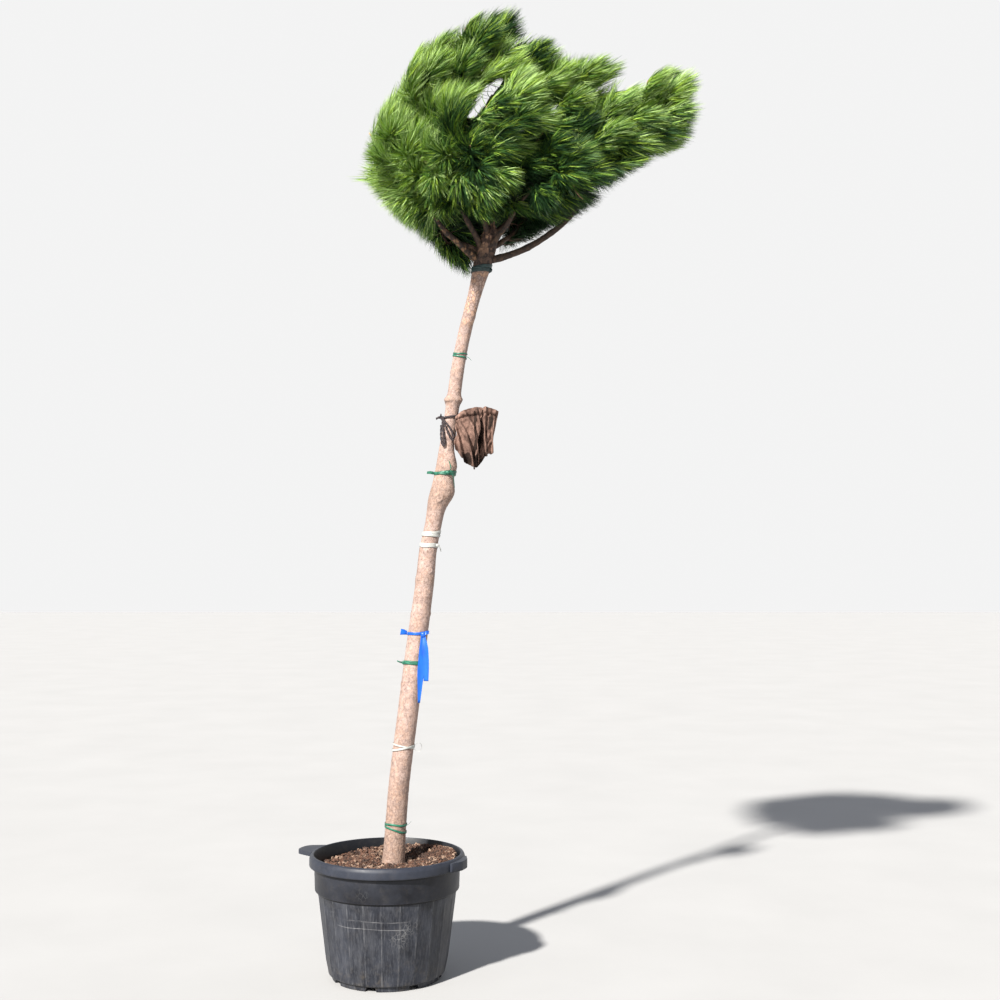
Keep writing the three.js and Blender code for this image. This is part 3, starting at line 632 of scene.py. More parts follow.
def ribbon_plastic():
    creases = (28, 4, (1.4, 1.4, 0.4), 0.3, 0.7)
    blue, pale = (0.002, 0.055, 0.34), (0.004, 0.11, 0.5)
    return two_toned(
        "blue_ribbon_plastic", creases, blue, pale, (0.5, 0.002), 0.36, IOR=1.48)[0].material


def twine_fibre():
    fibres = (300, 4, None, 0.35, 0.7)
    dark, light = (0.008, 0.006, 0.009), (0.05, 0.034, 0.036)
    return two_toned("navy_twine", fibres, dark, light, (0.7, 0.0008), 0.8)[0].material


def rag_weave(name, dark, light):
    """A weathered brown rag: a coarse weave, blotched with damp and dust."""
    finish = Finish(name, 0.92, Specular_IOR_Level=0.2)
    body = finish.ramp(finish.noise(17, 6, 0.65), (0.38, dark), (0.62, light))
    warp, weft = (finish.noise(1, 1, stretch=scale) for scale in ((420, 60, 60), (60, 60, 420)))
    weave = finish.mix(0.5, warp, weft)
    finish.colour(finish.laid(body, (0.05, 0.03, 0.02), finish.ramp(weave, (0.35, 0.35), (0.6, 0.0))))
    finish.bump(weave, 0.7, 0.001)
    return finish.material


def floor_paint():
    grain = (1.5, 4, None, 0.3, 0.7)
    return two_toned("pale_floor", grain, (0.36,) * 3, (0.38,) * 3, None, 0.75)[0].material


# ----------------------------------------------------------------- settings


def length(label, description, millimetres):
    """A setting that is a length, given in millimetres."""
    return bpy.props.FloatProperty(
        name=label, description=description, default=millimetres * MM, unit="LENGTH")


class PotSettings(bpy.types.PropertyGroup):
    """Sizes of the nursery pot's details."""

    panels: bpy.props.IntProperty(
        name="Wall panels", description="Shallow panels round the pot's wall", default=24, min=3)
    panel_depth: length("Panel depth", "How far a panel's middle is sunk", 2.6)
    chips: bpy.props.IntProperty(
        name="Bark chips", description="Loose chips on the soil", default=3400, min=0)


class BarkSettings(bpy.types.PropertyGroup):
    """Relief of the bark."""

    relief: length("Relief", "Depth of the cracks between plates", 1.5)
    plates_around: bpy.props.IntProperty(
        name="Plates around", description="Bark plates round the trunk", default=17, min=3)


class CrownSettings(bpy.types.PropertyGroup):
    """How the crown is grown."""

    seed: bpy.props.IntProperty(name="Seed", description="Seed of the crown's growth", default=10)
    shoot_room: bpy.props.FloatProperty(
        name="Room for a shoot", description="Litres of foliage to each leafy shoot", default=1.5,
        min=0.2)
    clad: length("Clad length", "Length of a shoot that carries needles", 270)
    needle_length: length("Needle length", "Mean length of a needle", 118)
    needle_width: length("Needle width", "Width of a needle at its foot", 2.75)
    needle_step: length("Needle step", "Length of shoot for each needle", 0.127)


class StageSettings(bpy.types.PropertyGroup):
    """Camera and lights."""

    lens: bpy.props.FloatProperty(
        name="Lens", description="Focal length on a 36 mm wide sensor", default=48.6,
        subtype="DISTANCE_CAMERA")
    camera_place: bpy.props.FloatVectorProperty(
        name="Camera place", description="Where the camera stands", default=(0.4354, -5.285, 1.58),
        subtype="TRANSLATION", unit="LENGTH")
    camera_pitch: bpy.props.FloatProperty(
        name="Camera pitch", description="How far the camera looks up",
        default=math.radians(2.7566), subtype="ANGLE")
    sun_strength: bpy.props.FloatProperty(
        name="Sun strength", description="Strength of the key light", default=10.5)
    sky_strength: bpy.props.FloatProperty(
        name="Sky strength", description="Strength of the soft light all round", default=0.9)


# ---------------------------------------------------------------------- pot


def wall_radius(height):
    """The outer radius of the pot's wall, in millimetres."""
    marks = [POT["foot_height"], POT["wall_bend_height"], POT["band_bottom"]]
    radii = [POT["wall_foot_radius"], POT["wall_bend_radius"], POT["wall_top_radius"]]
    return np.interp(height, marks, radii)


def rounded(profile, size, steps=3):
    """The profile with each inner corner turned on a small arc."""
    points = [Vector(point) for point in profile]
    result = [points[0]]
    for before, corner, after in zip(points, points[1:], points[2:]):
        reach = min(size, (before - corner).length * 0.4, (after - corner).length * 0.4)
        start = corner + (before - corner).normalized() * reach
        end = corner + (after - corner).normalized() * reach
        for k in range(steps + 1):
            share = k / steps
            result.append(start.lerp(corner, share).lerp(corner.lerp(end, share), share))
    result.append(points[-1])
    return result


def pot_profile():
    """The section of the pot, from the middle of its underside to its floor."""
    pot = POT
    rim_bottom = pot["height"] - pot["rim_height"]
    wall_heights = np.linspace(pot["foot_height"], pot["band_bottom"], 26)
    rim_inside = pot["rim_radius"] - pot["rim_lip"]
    notch_radius = pot["foot_radius"] - NOTCH["depth"]
    outer = [(0, 0), (notch_radius, 0), (notch_radius + 0.5, 0), (pot["foot_radius"], 0)]
    outer += [(pot["foot_radius"] + 2, pot["foot_height"])]
    outer += [(float(wall_radius(height)), float(height)) for height in wall_heights]
    outer += [
        (pot["band_radius"] - pot["band_draft"], pot["band_bottom"]),
        (pot["band_radius"], rim_bottom),
        (pot["rim_radius"], rim_bottom),
        (pot["rim_radius"], pot["height"] - pot["rim_bevel"][1]),
        (pot["rim_radius"] - pot["rim_bevel"][0], pot["height"] - pot["rim_crown"][1]),
        (pot["rim_radius"] - pot["rim_crown"][0], pot["height"]),
        (rim_inside, pot["height"]),
        (pot["band_radius"] - pot["wall"], rim_bottom),
        (pot["wall_top_radius"] - pot["wall"], pot["band_bottom"]),
        (pot["wall_bend_radius"] - pot["wall"], pot["wall_bend_height"]),
        (pot["wall_foot_radius"] - pot["wall"] - 2, pot["floor"]),
        (0, pot["floor"]),
    ]
    return rounded(outer, pot["corner"])


def shape_pot_wall(shape, panels, depth):
    """Sinks the wall's panels and raises the drainage notches at its foot."""
    top = POT["band_bottom"] - POT["panel_fade"]
    for vert in shape.verts:
        radius = math.hypot(vert.co.x, vert.co.y) / MM
        height = vert.co.z / MM
        angle = math.atan2(vert.co.y, vert.co.x)
        if abs(radius - wall_radius(height)) < 1.2 and POT["foot_height"] + 4 < height < top:
            away = abs((angle / TURN * panels) % 1 - 0.5) * 2
            fade = smoothstep(POT["foot_height"], 70, height) * smoothstep(top, top - 25, height)
            sink = depth * float(fade) * (1 - float(smoothstep(0.72, 1.0, away)))
            vert.co.x -= sink * math.cos(angle)
            vert.co.y -= sink * math.sin(angle)
        if height < NOTCH["height"] and radius > POT["foot_radius"] - NOTCH["depth"] + 0.2:
            step = TURN / NOTCH["count"]
            away = (angle - math.radians(NOTCH["turn"]) + step / 2) % step - step / 2
            if abs(away) * POT["foot_radius"] < NOTCH["width"] / 2:
                vert.co.z = NOTCH["height"] * MM


def pot_ear(turn, reach, deep, taper):
    """A solid lifting tab at the rim, flat on top and softened round its edges."""
    root = POT["rim_radius"] - POT["rim_lip"] / 2
    end = POT["rim_radius"] + reach
    half = EAR["width"] / 2
    outline = [
        (root, -half), (POT["rim_radius"], -half), (end - taper / 2, -half + taper),
        (end, -half + 2 * taper), (end, half - 2 * taper), (end - taper / 2, half - taper),
        (POT["rim_radius"], half), (root, half),
    ]
    top, soft = POT["height"] - EAR["drop"], EAR["edge"]
    spine = root + EAR["spine"]

    def narrowed(x, y, inward):
        across = end - spine if x > spine else 2 * EAR["spine"]
        return spine + (x - spine) * (1 - inward / across), y * (1 - inward / half)

    shape = bmesh.new()
    outline = rounded(outline, EAR["corner"], steps=4)
    foot = top - deep
    rings = []
    for inward, height in [(soft, top), (0, top - soft), (0, foot + soft), (soft, foot)]:
        places = [narrowed(x, y, inward) for x, y in outline]
        ring = [shape.verts.new((x * MM, y * MM, height * MM)) for x, y in places]
        rings.append([shape.edges.new(pair) for pair in zip(ring, ring[1:] + ring[:1])])
    for upper, lower in zip(rings, rings[1:]):
        bmesh.ops.bridge_loops(shape, edges=upper + lower)
    for ring in (rings[0], rings[-1]):
        bmesh.ops.contextual_create(shape, geom=ring)
    bmesh.ops.recalc_face_normals(shape, faces=shape.faces)
    facing = Matrix.Rotation(math.radians(turn), 3, "Z")
    bmesh.ops.rotate(shape, verts=shape.verts, cent=(0, 0, 0), matrix=facing)
    return shape


class STONEPINE_OT_pot(bpy.types.Operator):
    """Builds the nursery pot with its panels, notches and lifting ears"""

    bl_idname = "stonepine.pot"
    bl_label = "Nursery Pot"

    def execute(self, context):
        settings = context.scene.pine_pot
        shape = bmesh.new()
        line = [shape.verts.new((point.x * MM, 0, point.y * MM)) for point in pot_profile()]
        edges = [shape.edges.new(pair) for pair in zip(line, line[1:])]
        bmesh.ops.spin(
            shape, geom=line + edges, cent=(0, 0, 0), axis=(0, 0, 1), angle=TURN,
            steps=POT["steps"], use_merge=True)
        bmesh.ops.remove_doubles(shape, verts=shape.verts, dist=0.2 * MM)
        shape_pot_wall(shape, settings.panels, settings.panel_depth)
        bmesh.ops.recalc_face_normals(shape, faces=shape.faces)
        whole = join_shapes([shape, *(pot_ear(*ear) for ear in EARS)])
        pot = piece_of("pot_shell", whole, [pot_plastic(settings.panels)])
        sharpen(pot, 40)
        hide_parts("pot")
        return {"FINISHED"}


def sharpen(piece, degrees):
    """Keeps the piece's sharper edges crisp under smooth shading."""
    limit = math.radians(degrees)
    mesh = piece.data
    shape = bmesh.new()
    shape.from_mesh(mesh)
    for edge in shape.edges:
        edge.smooth = edge.calc_face_angle(0) < limit
    shape.to_mesh(mesh)
    shape.free()


# --------------------------------------------------------------------- soil


def soil_height(radius, angle):
    """The mulch's surface in millimetres: level at the trunk, heaped up on one side."""
    edge = smoothstep(SOIL["flat_radius"], SOIL["rise_radius"], radius)
    dish = SOIL["middle"] + (SOIL["edge"] - SOIL["middle"]) * edge
    around = SOIL["lumps_around"]
    lumps = soft_noise(angle / TURN * around, radius / SOIL["lump_length"], around, 5)
    slope = edge * (SOIL["heap"] * np.cos(angle) - SOIL["sink"])
    return dish + slope + lumps * SOIL["lump_height"]


def soil_place(angle, share):
    """The top of the soil from its middle outwards, then down its side."""
    reach = POT["wall_top_radius"] + 3.5
    radius = np.interp(share, [0, 0.9, 1], [0.5, reach, reach - 9])
    height = soil_height(radius, angle) - np.interp(share, [0.9, 1], [0, SOIL["skirt"]])
    return np.stack([radius * np.cos(angle), radius * np.sin(angle), height], axis=-1) * MM


def chip_arrays(count, random):
    """Loose chips as wedges of eight corners, lying on the soil."""
    box = np.array([[x, y, z] for z in (-1, 1) for y in (-1, 1) for x in (-1, 1)], float)
    quads = np.array([
        [0, 2, 3, 1], [4, 5, 7, 6], [0, 1, 5, 4], [2, 6, 7, 3], [0, 4, 6, 2], [1, 3, 7, 5]])
    radius = CHIP["reach"] * np.sqrt(random.random(count))
    angle = random.random(count) * TURN
    middle = np.stack(
        [radius * np.cos(angle), radius * np.sin(angle), soil_height(radius, angle)], axis=-1)
    stem = trunk_middle(middle[:, 2])
    room = trunk_radius(middle[:, 2], 0) + CHIP["stem_room"]
    clear = np.hypot(*(middle - stem)[:, :2].T) > room
    middle, count = middle[clear], int(clear.sum())
    sizes = random.uniform(CHIP["least"], CHIP["most"], (count, 3))
    corners = box[None] * sizes[:, None] * random.uniform(0.55, 1.05, (count, 8, 3))
    spin = random.random(count) * TURN
    lean = random.normal(0, CHIP["lean"], (count, 2))
    corners = turned(corners, spin, lean[:, 0], lean[:, 1])
    corners = corners + (middle + [0, 0, 1.5])[:, None]
    corners[:, :, 2] += random.uniform(-1.5, 3.5, count)[:, None]
    faces = quads[None] + (np.arange(count) * 8)[:, None, None]
    patch = soft_noise(middle[:, 0] / 45 + 40, middle[:, 1] / 45 + 40, UNENDING, 8)
    tones = np.clip(random.normal(0.7 + 0.8 * patch, 0.8).round(), 0, 2).astype(int)
    tones = np.repeat(tones, len(quads))
    return corners.reshape(-1, 3) * MM, faces.reshape(-1, 4), tones


def turned(points, spin, pitch, roll):
    """Each row of points turned by its own pitch, roll and then spin."""
    c, s = np.cos(pitch)[:, None], np.sin(pitch)[:, None]
    x, y, z = points[..., 0], points[..., 1], points[..., 2]
    y, z = y * c - z * s, y * s + z * c
    c, s = np.cos(roll)[:, None], np.sin(roll)[:, None]
    x, z = x * c + z * s, z * c - x * s
    c, s = np.cos(spin)[:, None], np.sin(spin)[:, None]
    return np.stack([x * c - y * s, x * s + y * c, z], axis=-1)


class STONEPINE_OT_soil(bpy.types.Operator):
    """Builds the mulch in the pot and the loose bark chips on it"""

    bl_idname = "stonepine.soil"
    bl_label = "Bark Mulch"

    def execute(self, context):
        brown = chip_bark("mulch_brown", (0.014, 0.007, 0.005), (0.07, 0.035, 0.022))
        red = chip_bark("mulch_red_brown", (0.035, 0.014, 0.008), (0.145, 0.07, 0.041))
        tan = chip_bark("mulch_tan", (0.1, 0.056, 0.036), (0.36, 0.25, 0.18))
        humus = chip_bark("mulch_humus", (0.008, 0.005, 0.004), (0.03, 0.018, 0.012))
        shape = wrapped_grid(120, 60, soil_place)
        soil = piece_of("soil_surface", shape, [humus])
        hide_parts("soil")
        random = np.random.default_rng(41)
        corners, faces, tones = chip_arrays(context.scene.pine_pot.chips, random)
        piece_of_arrays("soil_chips", corners, [faces], [tones], [brown, red, tan])
        return {"FINISHED"}


# ---------------------------------------------------------- trunk and boughs


def bark_relief(angle, height, around, depth, age_and_shade):
    """How far the bark stands out, in millimetres, and how deep in a crack it is."""
    wander = soft_noise(angle / TURN * 7, height / 60, 7, 3) * 0.5
    column = angle / TURN * around + wander
    row = height / 26 + soft_noise(angle / TURN * 5, height / 45, 5, 9) * 0.6
    edge, number = plates(column, row, around, 21)
    fine, _ = plates(angle / TURN * around * 2, height / 11, around * 2, 33)
    plate = smoothstep(0.0, 0.3, edge)
    scale = smoothstep(0.0, 0.3, fine)
    rough = soft_noise(angle / TURN * 30, height / 5, 30, 17)
    strength = depth * (0.25 + 0.9 * age_and_shade)
    stand = strength * 0.7 * age_and_shade * (plate - 1) + strength * 0.5 * (number - 0.5)
    stand = stand + strength * 0.5 * (scale - 1) + 0.35 * rough
    crack = (1 - plate) * age_and_shade * 0.7 + (1 - scale) * (0.15 + 0.35 * age_and_shade)
    return stand, np.clip(crack, 0, 1)


def trunk_age_and_shade(height):
    """How old and rough the bark looks: at the foot, at the knots, by the whorl. Its rise by the
    whorl also lays painted shade on the neck.
    """
    age_and_shade = 0.12 + 0.5 * smoothstep(1100, 430, height)
    # Painted shade: from just under the whorl upwards this darkens the neck, which lies in the
    # crown's shade.
    age_and_shade = age_and_shade + 0.85 * smoothstep(2705, 2760, height) + 0.45 * hump(height, 2525, 9)
    for centre, _, spread, _ in KNOTS[:5]:
        age_and_shade = age_and_shade + 0.25 * hump(height, centre, spread)
    return np.clip(age_and_shade, 0, 1)


def trunk_place(settings):
    """A place function for the trunk's bark, thinner and scalier up its leader."""
    low, high = TRUNK["foot"][2], TRUNK["tip"][2]

    def place(angle, share):
        height = low + (high - low) * share
        age_and_shade = trunk_age_and_shade(height)
        lift, crack = bark_relief(
            angle, height, settings.plates_around, settings.relief / MM, age_and_shade)
        narrow = smoothstep(3220, 2900, height)
        lift = lift * (0.35 + 0.65 * narrow) + ring_scars(height, angle)
        slim = smoothstep(2885, 2945, height) * smoothstep(3215, 3050, height)
        lift = lift - 0.42 * slim * trunk_radius(height, angle)
        flakes_and_highlight = 0.2 + 0.75 * smoothstep(2430, 2680, height)
        # Fewer light flakes just above the whorl, left in painted shade, and more on the bulge above
        # it, partly painted highlight.
        flakes_and_highlight = flakes_and_highlight - 0.8 * hump(height, 2785, 45) + 1.1 * hump(height, 2880, 42)
        return on_trunk(angle, height, lift), crack, age_and_shade, flakes_and_highlight

    return place


class STONEPINE_OT_trunk(bpy.types.Operator):
    """Builds the leaning trunk with its knots, rings and flaky bark"""

    bl_idname = "stonepine.trunk"
    bl_label = "Trunk"

    def execute(self, context):
        bark = trunk_bark(
            "trunk_bark", (0.25, 0.172, 0.145), (0.42, 0.312, 0.275), (0.1, 0.06, 0.048),
            (0.25, 0.165, 0.11), (0.016, 0.009, 0.007), (0.5, 0.29, 0.18))
        place = trunk_place(context.scene.pine_bark)
        shape = wrapped_grid(88, 980, place, layers=("crack", "age_and_shade", "flakes_and_highlight"))
        trunk = piece_of("trunk_with_bark", shape, [bark])
        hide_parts("trunk")
        return {"FINISHED"}


RINGS = (1120, 1385, 1640, 2090, 2345, 2560)  # heights of old whorls of twigs
# Old limb scars: height, the way each faces in degrees, and its size.
SCARS = [(1842, -82, 17), (2000, -38, 11), (1561, -62, 12), (1480, -118, 9), (1233, -75, 8),
         (1010, -105, 8), (2075, 60, 10), (1700, 120, 12), (1300, 150, 10), (900, 80, 11)]


def ring_scars(height, angle):
    """Bumps left round the trunk by old whorls of twigs, and by single limbs."""
    lift = 0 * height
    for k, centre in enumerate(RINGS):
        bumps = soft_noise(angle / TURN * 6, height / 40, 6, 50 + k)
        lift = lift + hump(height, centre + 6 * np.sin(angle * 2 + k), 9) * (1.2 + 1.6 * bumps)
    collar = soft_noise(angle / TURN * 11, height / 9, 11, 71)
    lift = lift + hump(height, KNOTS[4][0] - 3, 15) * (1.4 + 3.2 * collar)
    radius = trunk_radius(height, angle)
    for centre, facing, size in SCARS:
        turn = (angle - math.radians(facing) + math.pi) % TURN - math.pi
        away = np.hypot(turn * radius, (height - centre) * 0.85)
        rim = np.exp(-(((away - size * 0.75) / (size * 0.28)) ** 2))
        boss = np.exp(-((away / (size * 0.3)) ** 2))
        swell = np.exp(-((away / size / 1.6) ** 2))
        lift = lift + size * (0.17 * rim + 0.12 * boss) + size * 0.1 * swell
    return lift


# How much of each bough's bark shows light flakes: partly loose bark and partly painted highlight,
# most on the sunlit left bough and least on the shaded right one.
BOUGH_FLAKES_AND_HIGHLIGHT = {"left": 1.0, "right": 0.12, "left_centre": 0.2}
BOUGH_FLAKES_AND_HIGHLIGHT_ELSEWHERE = 0.25


class STONEPINE_OT_boughs(bpy.types.Operator):
    """Builds the boughs from the trunk to their forks"""

    bl_idname = "stonepine.boughs"
    bl_label = "Boughs"

    def execute(self, context):
        depth = context.scene.pine_bark.relief / MM
        # The bough bark's tones are much darker than the trunk's: partly its own colour, partly
        # painted shade of the crown.
        bark = trunk_bark(
            "bough_bark", (0.018, 0.011, 0.009), (0.075, 0.044, 0.031), (0.008, 0.005, 0.004),
            (0.034, 0.02, 0.014), (0.034, 0.02, 0.014), (0.3, 0.165, 0.085))
        for limb in LIMBS:
            shares = np.linspace(0, 1, 40)
            points, _, radii = bough_line(limb, shares)
            length, _ = length_of(points)
            wobble = np.stack(
                [soft_noise(shares * 5, shares * 0 + k, UNENDING, 70) for k in range(3)], -1)
            points = points + wobble * (4 * np.sin(np.pi * shares))[:, None]
            # Light flakes on this bough: partly loose bark, partly painted highlight.
            bough_flakes_and_highlight = BOUGH_FLAKES_AND_HIGHLIGHT.get(limb[0], BOUGH_FLAKES_AND_HIGHLIGHT_ELSEWHERE)

            def bumps(angle, share, length=length, bough_flakes_and_highlight=bough_flakes_and_highlight):
                lift, crack = bark_relief(angle, share * length, 9, depth * 0.8, 0.7)
                knuckle = hump((share * length) % 110, 55, 12) * 1.4
                return lift + knuckle, crack, 0.45 + 0.4 * (1 - share), bough_flakes_and_highlight + 0 * share

            rings = max(int(length / 4), 20)
            shape = wrapped_grid(
                26, rings, tube_place(points, radii, bumps), ("crack", "age_and_shade", "flakes_and_highlight"))
            bough = piece_of(f"bough_{limb[0]}_bark", shape, [bark])
            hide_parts(f"bough_{limb[0]}")
        return {"FINISHED"}


# ------------------------------------------------------------------ foliage


def foliage_masses():
    """Every mass of foliage: its fork, heading, tip, width and depth."""
    rows = []
    for limb in LIMBS:
        points, heading, _ = bough_line(limb, [1.0])
        rows.append((limb[0], points[0], heading[0], *limb[6:9]))
    name, *space = LEADER_FOLIAGE
    ends = trunk_middle(np.array([TRUNK["tip"][2] - 1, TRUNK["tip"][2]]))
    heading = (ends[1] - ends[0]) / np.linalg.norm(ends[1] - ends[0])
    rows.append((name, np.array(TRUNK["tip"], float), heading, *space))
    return [
        {"name": name, "start": start, "heading": heading, "tip": np.array(tip, float),
         "width": width, "depth": depth}
        for name, start, heading, tip, width, depth in rows
    ]


def closest_on(start, end, point):
    """The place between start and end that is nearest to a point."""
    share = np.clip((point - start).dot(end - start) / (end - start).dot(end - start), 0, 1)
    return start + (end - start) * share


def dividing_planes(mass, masses):
    """The planes midway between this mass's line and each other mass's line."""
    normals, levels = [], []
    for other in masses:
        if other is mass:
            continue
        far = (other["start"] + other["tip"]) / 2
        near = far
        for _ in range(80):
            near = closest_on(mass["start"], mass["tip"], far)
            far = closest_on(other["start"], other["tip"], near)
        away = (far - near) / np.linalg.norm(far - near)
        normals.append(away)
        levels.append(away.dot((near + far) / 2))
    return np.array(normals), np.array(levels)


def inside_planes(points, planes, margin):
    """Which points lie within `margin` millimetres of this mass's own space."""
    normals, levels = planes
    return ((points @ normals.T) < levels + margin).all(axis=-1)


CROWN_HEART = np.array([360, 0, 2990])
CROWN_REACH = np.array([[430, 510, 300], [880, 510, 790]])
CROWN_LOW, CROWN_HIGH = 2850, 3600
WIND = np.array([1.0, 0.0, 0.28])
GRAVITY = np.array([0.0, 0.0, -1.0])
# The crown's outline as it stands across the wind: distance along, height.
ROOF = [
    (-130, 3110), (-97, 3200), (-42, 3360), (36, 3480), (138, 3635), (353, 3745), (430, 3785),
    (520, 3785), (560, 3680), (680, 3640), (720, 3595), (945, 3590), (972, 3470), (1100, 3550),
    (1200, 3550), (1242, 3440),
]
UNDERSIDE = [
    (-130, 3100), (-100, 3064), (-34, 2975), (110, 2855), (235, 2735), (330, 2690), (463, 2790),
    (819, 2980), (972, 3125), (1195, 3240), (1242, 3400),
]
# Slots between the plumes: both ends as distance and height, half a width for
# needles and half a width for shoots.
OPENINGS = [((312, 3350), (440, 3508), 26, 16), ((452, 3630), (560, 3668), 19, 0),
            ((905, 3480), (1030, 3562), 30, 22)]
OPENING_CLIMB = 0.39
# How low foliage hangs before the bare boughs: distance along, height.
NECK_BARE = [
    (90, 2500), (180, 2935), (280, 2975), (400, 2925), (520, 2965), (640, 2930), (700, 2500),
]
NECK_CLIMB = 0.26
ROOF_ROUND, UNDERSIDE_ROUND, UNDERSIDE_LEAN = 0.0011, 0.0005, 0.25
# The space that shoots of a mass end in, as shares of its length and width.
EGG = {"highest": 0.9, "back": 1.6, "forward": 0.8, "bare": 0.06, "fill": 0.45, "girth": 0.82}
STEM = {
    "reach": 0.6, "tip_room": 157, "bend": 0.5, "root": 8, "foot_radius": 6.5, "tip_radius": 4,
    "waver": 2,
}
SHOOT = {"foot_radius": 3.4, "tip_radius": 2, "waver": 3, "least_bare": 0.08}
SHOOT_MARKS = np.linspace(0, 1, 14)[None, :, None]
WHORLS = 3  # places on a stem that shoots spring from, besides its foot
FEWEST_SHOOTS = 18
TRIES = 60  # ends tried for each shoot that is grown
BOUGH_SHOOTS = {"low_right": 34, "back_right": 10}
# Twigs springing below this height get the dark bark: partly old bark, partly painted shade.
OLD_AND_SHADED_BARK_BELOW = 3000
# How shoots and needles lie: weights of each pull on them.
LAY = {"outward": 0.75, "on": 0.45, "droop": 0.5}
WIND_ON_SHOOTS = {"all": 0.15, "height": 0.95, "crest": 1.4, "lee": 0.65, "side": 0.45}
WIND_ON_NEEDLES = {"all": 0.05, "height": 0.6, "lee": 0.45, "droop": 1.05}
NEEDLE = {
    "bundle": 2, "crowding": 1.12, "spread": 36, "spread_varies": 12, "tip_spread": 14,
    "bend": 0.45, "shortest": 0.8, "longest": 1.1, "thinnest": 0.8, "widest": 1.15,
    "shades": [-3, -2, -1, -1, 0, 0, 1, 2, 3], "first_sweep": 0.25, "sweep": 0.6, "on": 0.3,
    "lay": 0.3, "bundle_wander": 0.15, "wander": 0.018, "overlap": 85, "least_bundles": 4,
}
# How much lighter or darker shoots are by their place, in steps of GREENS: painted light and shade,
# lighter high up and on the windward side, which faces the sun, darker at the shaded back.
TONE = {
    "low": 1.3, "height": 2.9, "plume": 1.9, "windward_painted_light": 6.2, "lee": 0.5, "varies": 0.85,
    "shaded_back": 1.6, "windward_reach": 430, "lee_reach": 800,
}


class Crown:
    """Gathers the twigs and the needles of one mass of foliage."""

    def __init__(self):
        self.tubes = []
        self.needles = []

    def add_tube(self, points, radii, sides=6):
        self.tubes.append((points, radii, sides))

    def add_needles(self, foot, middle, tip, side, width, tone):
        self.needles.append((foot, middle, tip, side, width, tone))


def lay_of(points, aim):
    """The way shoots lie at each point: outwards, on along their limb, and
    swept by the wind, which tells most high up and on the lee side."""
    height = smoothstep(CROWN_LOW, CROWN_HIGH, points[..., 2])[..., None]
    lee = smoothstep(-150, 900, points[..., 0])[..., None]
    outward = unit(points - CROWN_HEART)
    push = WIND_ON_SHOOTS
    crest = push["crest"] * smoothstep(3460, 3680, points[..., 2])[..., None]
    side = push["side"] * np.abs(outward[..., 1:2])
    wind = WIND * (push["all"] + push["height"] * height + crest + push["lee"] * lee + side)
    droop = GRAVITY * LAY["droop"] * (1 - height)
    return unit(outward * LAY["outward"] + aim * LAY["on"] + wind + droop)


def sweep_of(points):
    """The way needles bend at each point: with the wind high up and on the lee
    side, and hanging down low on the crown."""
    height = smoothstep(CROWN_LOW, CROWN_HIGH, points[..., 2])[..., None]
    lee = smoothstep(-50, 900, points[..., 0])[..., None]
    push = WIND_ON_NEEDLES
    wind = WIND * [1, 1, 0.4] * (push["all"] + push["height"] * height + push["lee"] * lee)
    return wind + GRAVITY * push["droop"] * (1 - height) ** 1.5


def deal_needles(length, bare, bundles, random):
    """Where the needles of a shoot spring from, in close bundles: the share
    along it and angle round it, then how far each spreads, its shade and twist."""
    size = NEEDLE["bundle"]
    count = bundles * size
    share = 1 - (1 - bare) * random.random(bundles) ** NEEDLE["crowding"]
    angle = random.random(bundles) * TURN
    spread = random.normal(NEEDLE["spread"], NEEDLE["spread_varies"], bundles)
    spread = np.radians(spread - NEEDLE["tip_spread"] * smoothstep(0.85, 1, share))
    shade = random.choice(NEEDLE["shades"], bundles)
    turn = random.normal(0, 1, (bundles, 3))
    share, angle, spread, shade, turn = (
        np.repeat(part, size, axis=0) for part in (share, angle, spread, shade, turn))
    share = np.clip(share + random.normal(0, 1.2 / length, count), 0, 1)
    angle = angle + random.normal(0, 0.06, count)
    return share, angle, spread + random.normal(0, 0.03, count), shade, turn


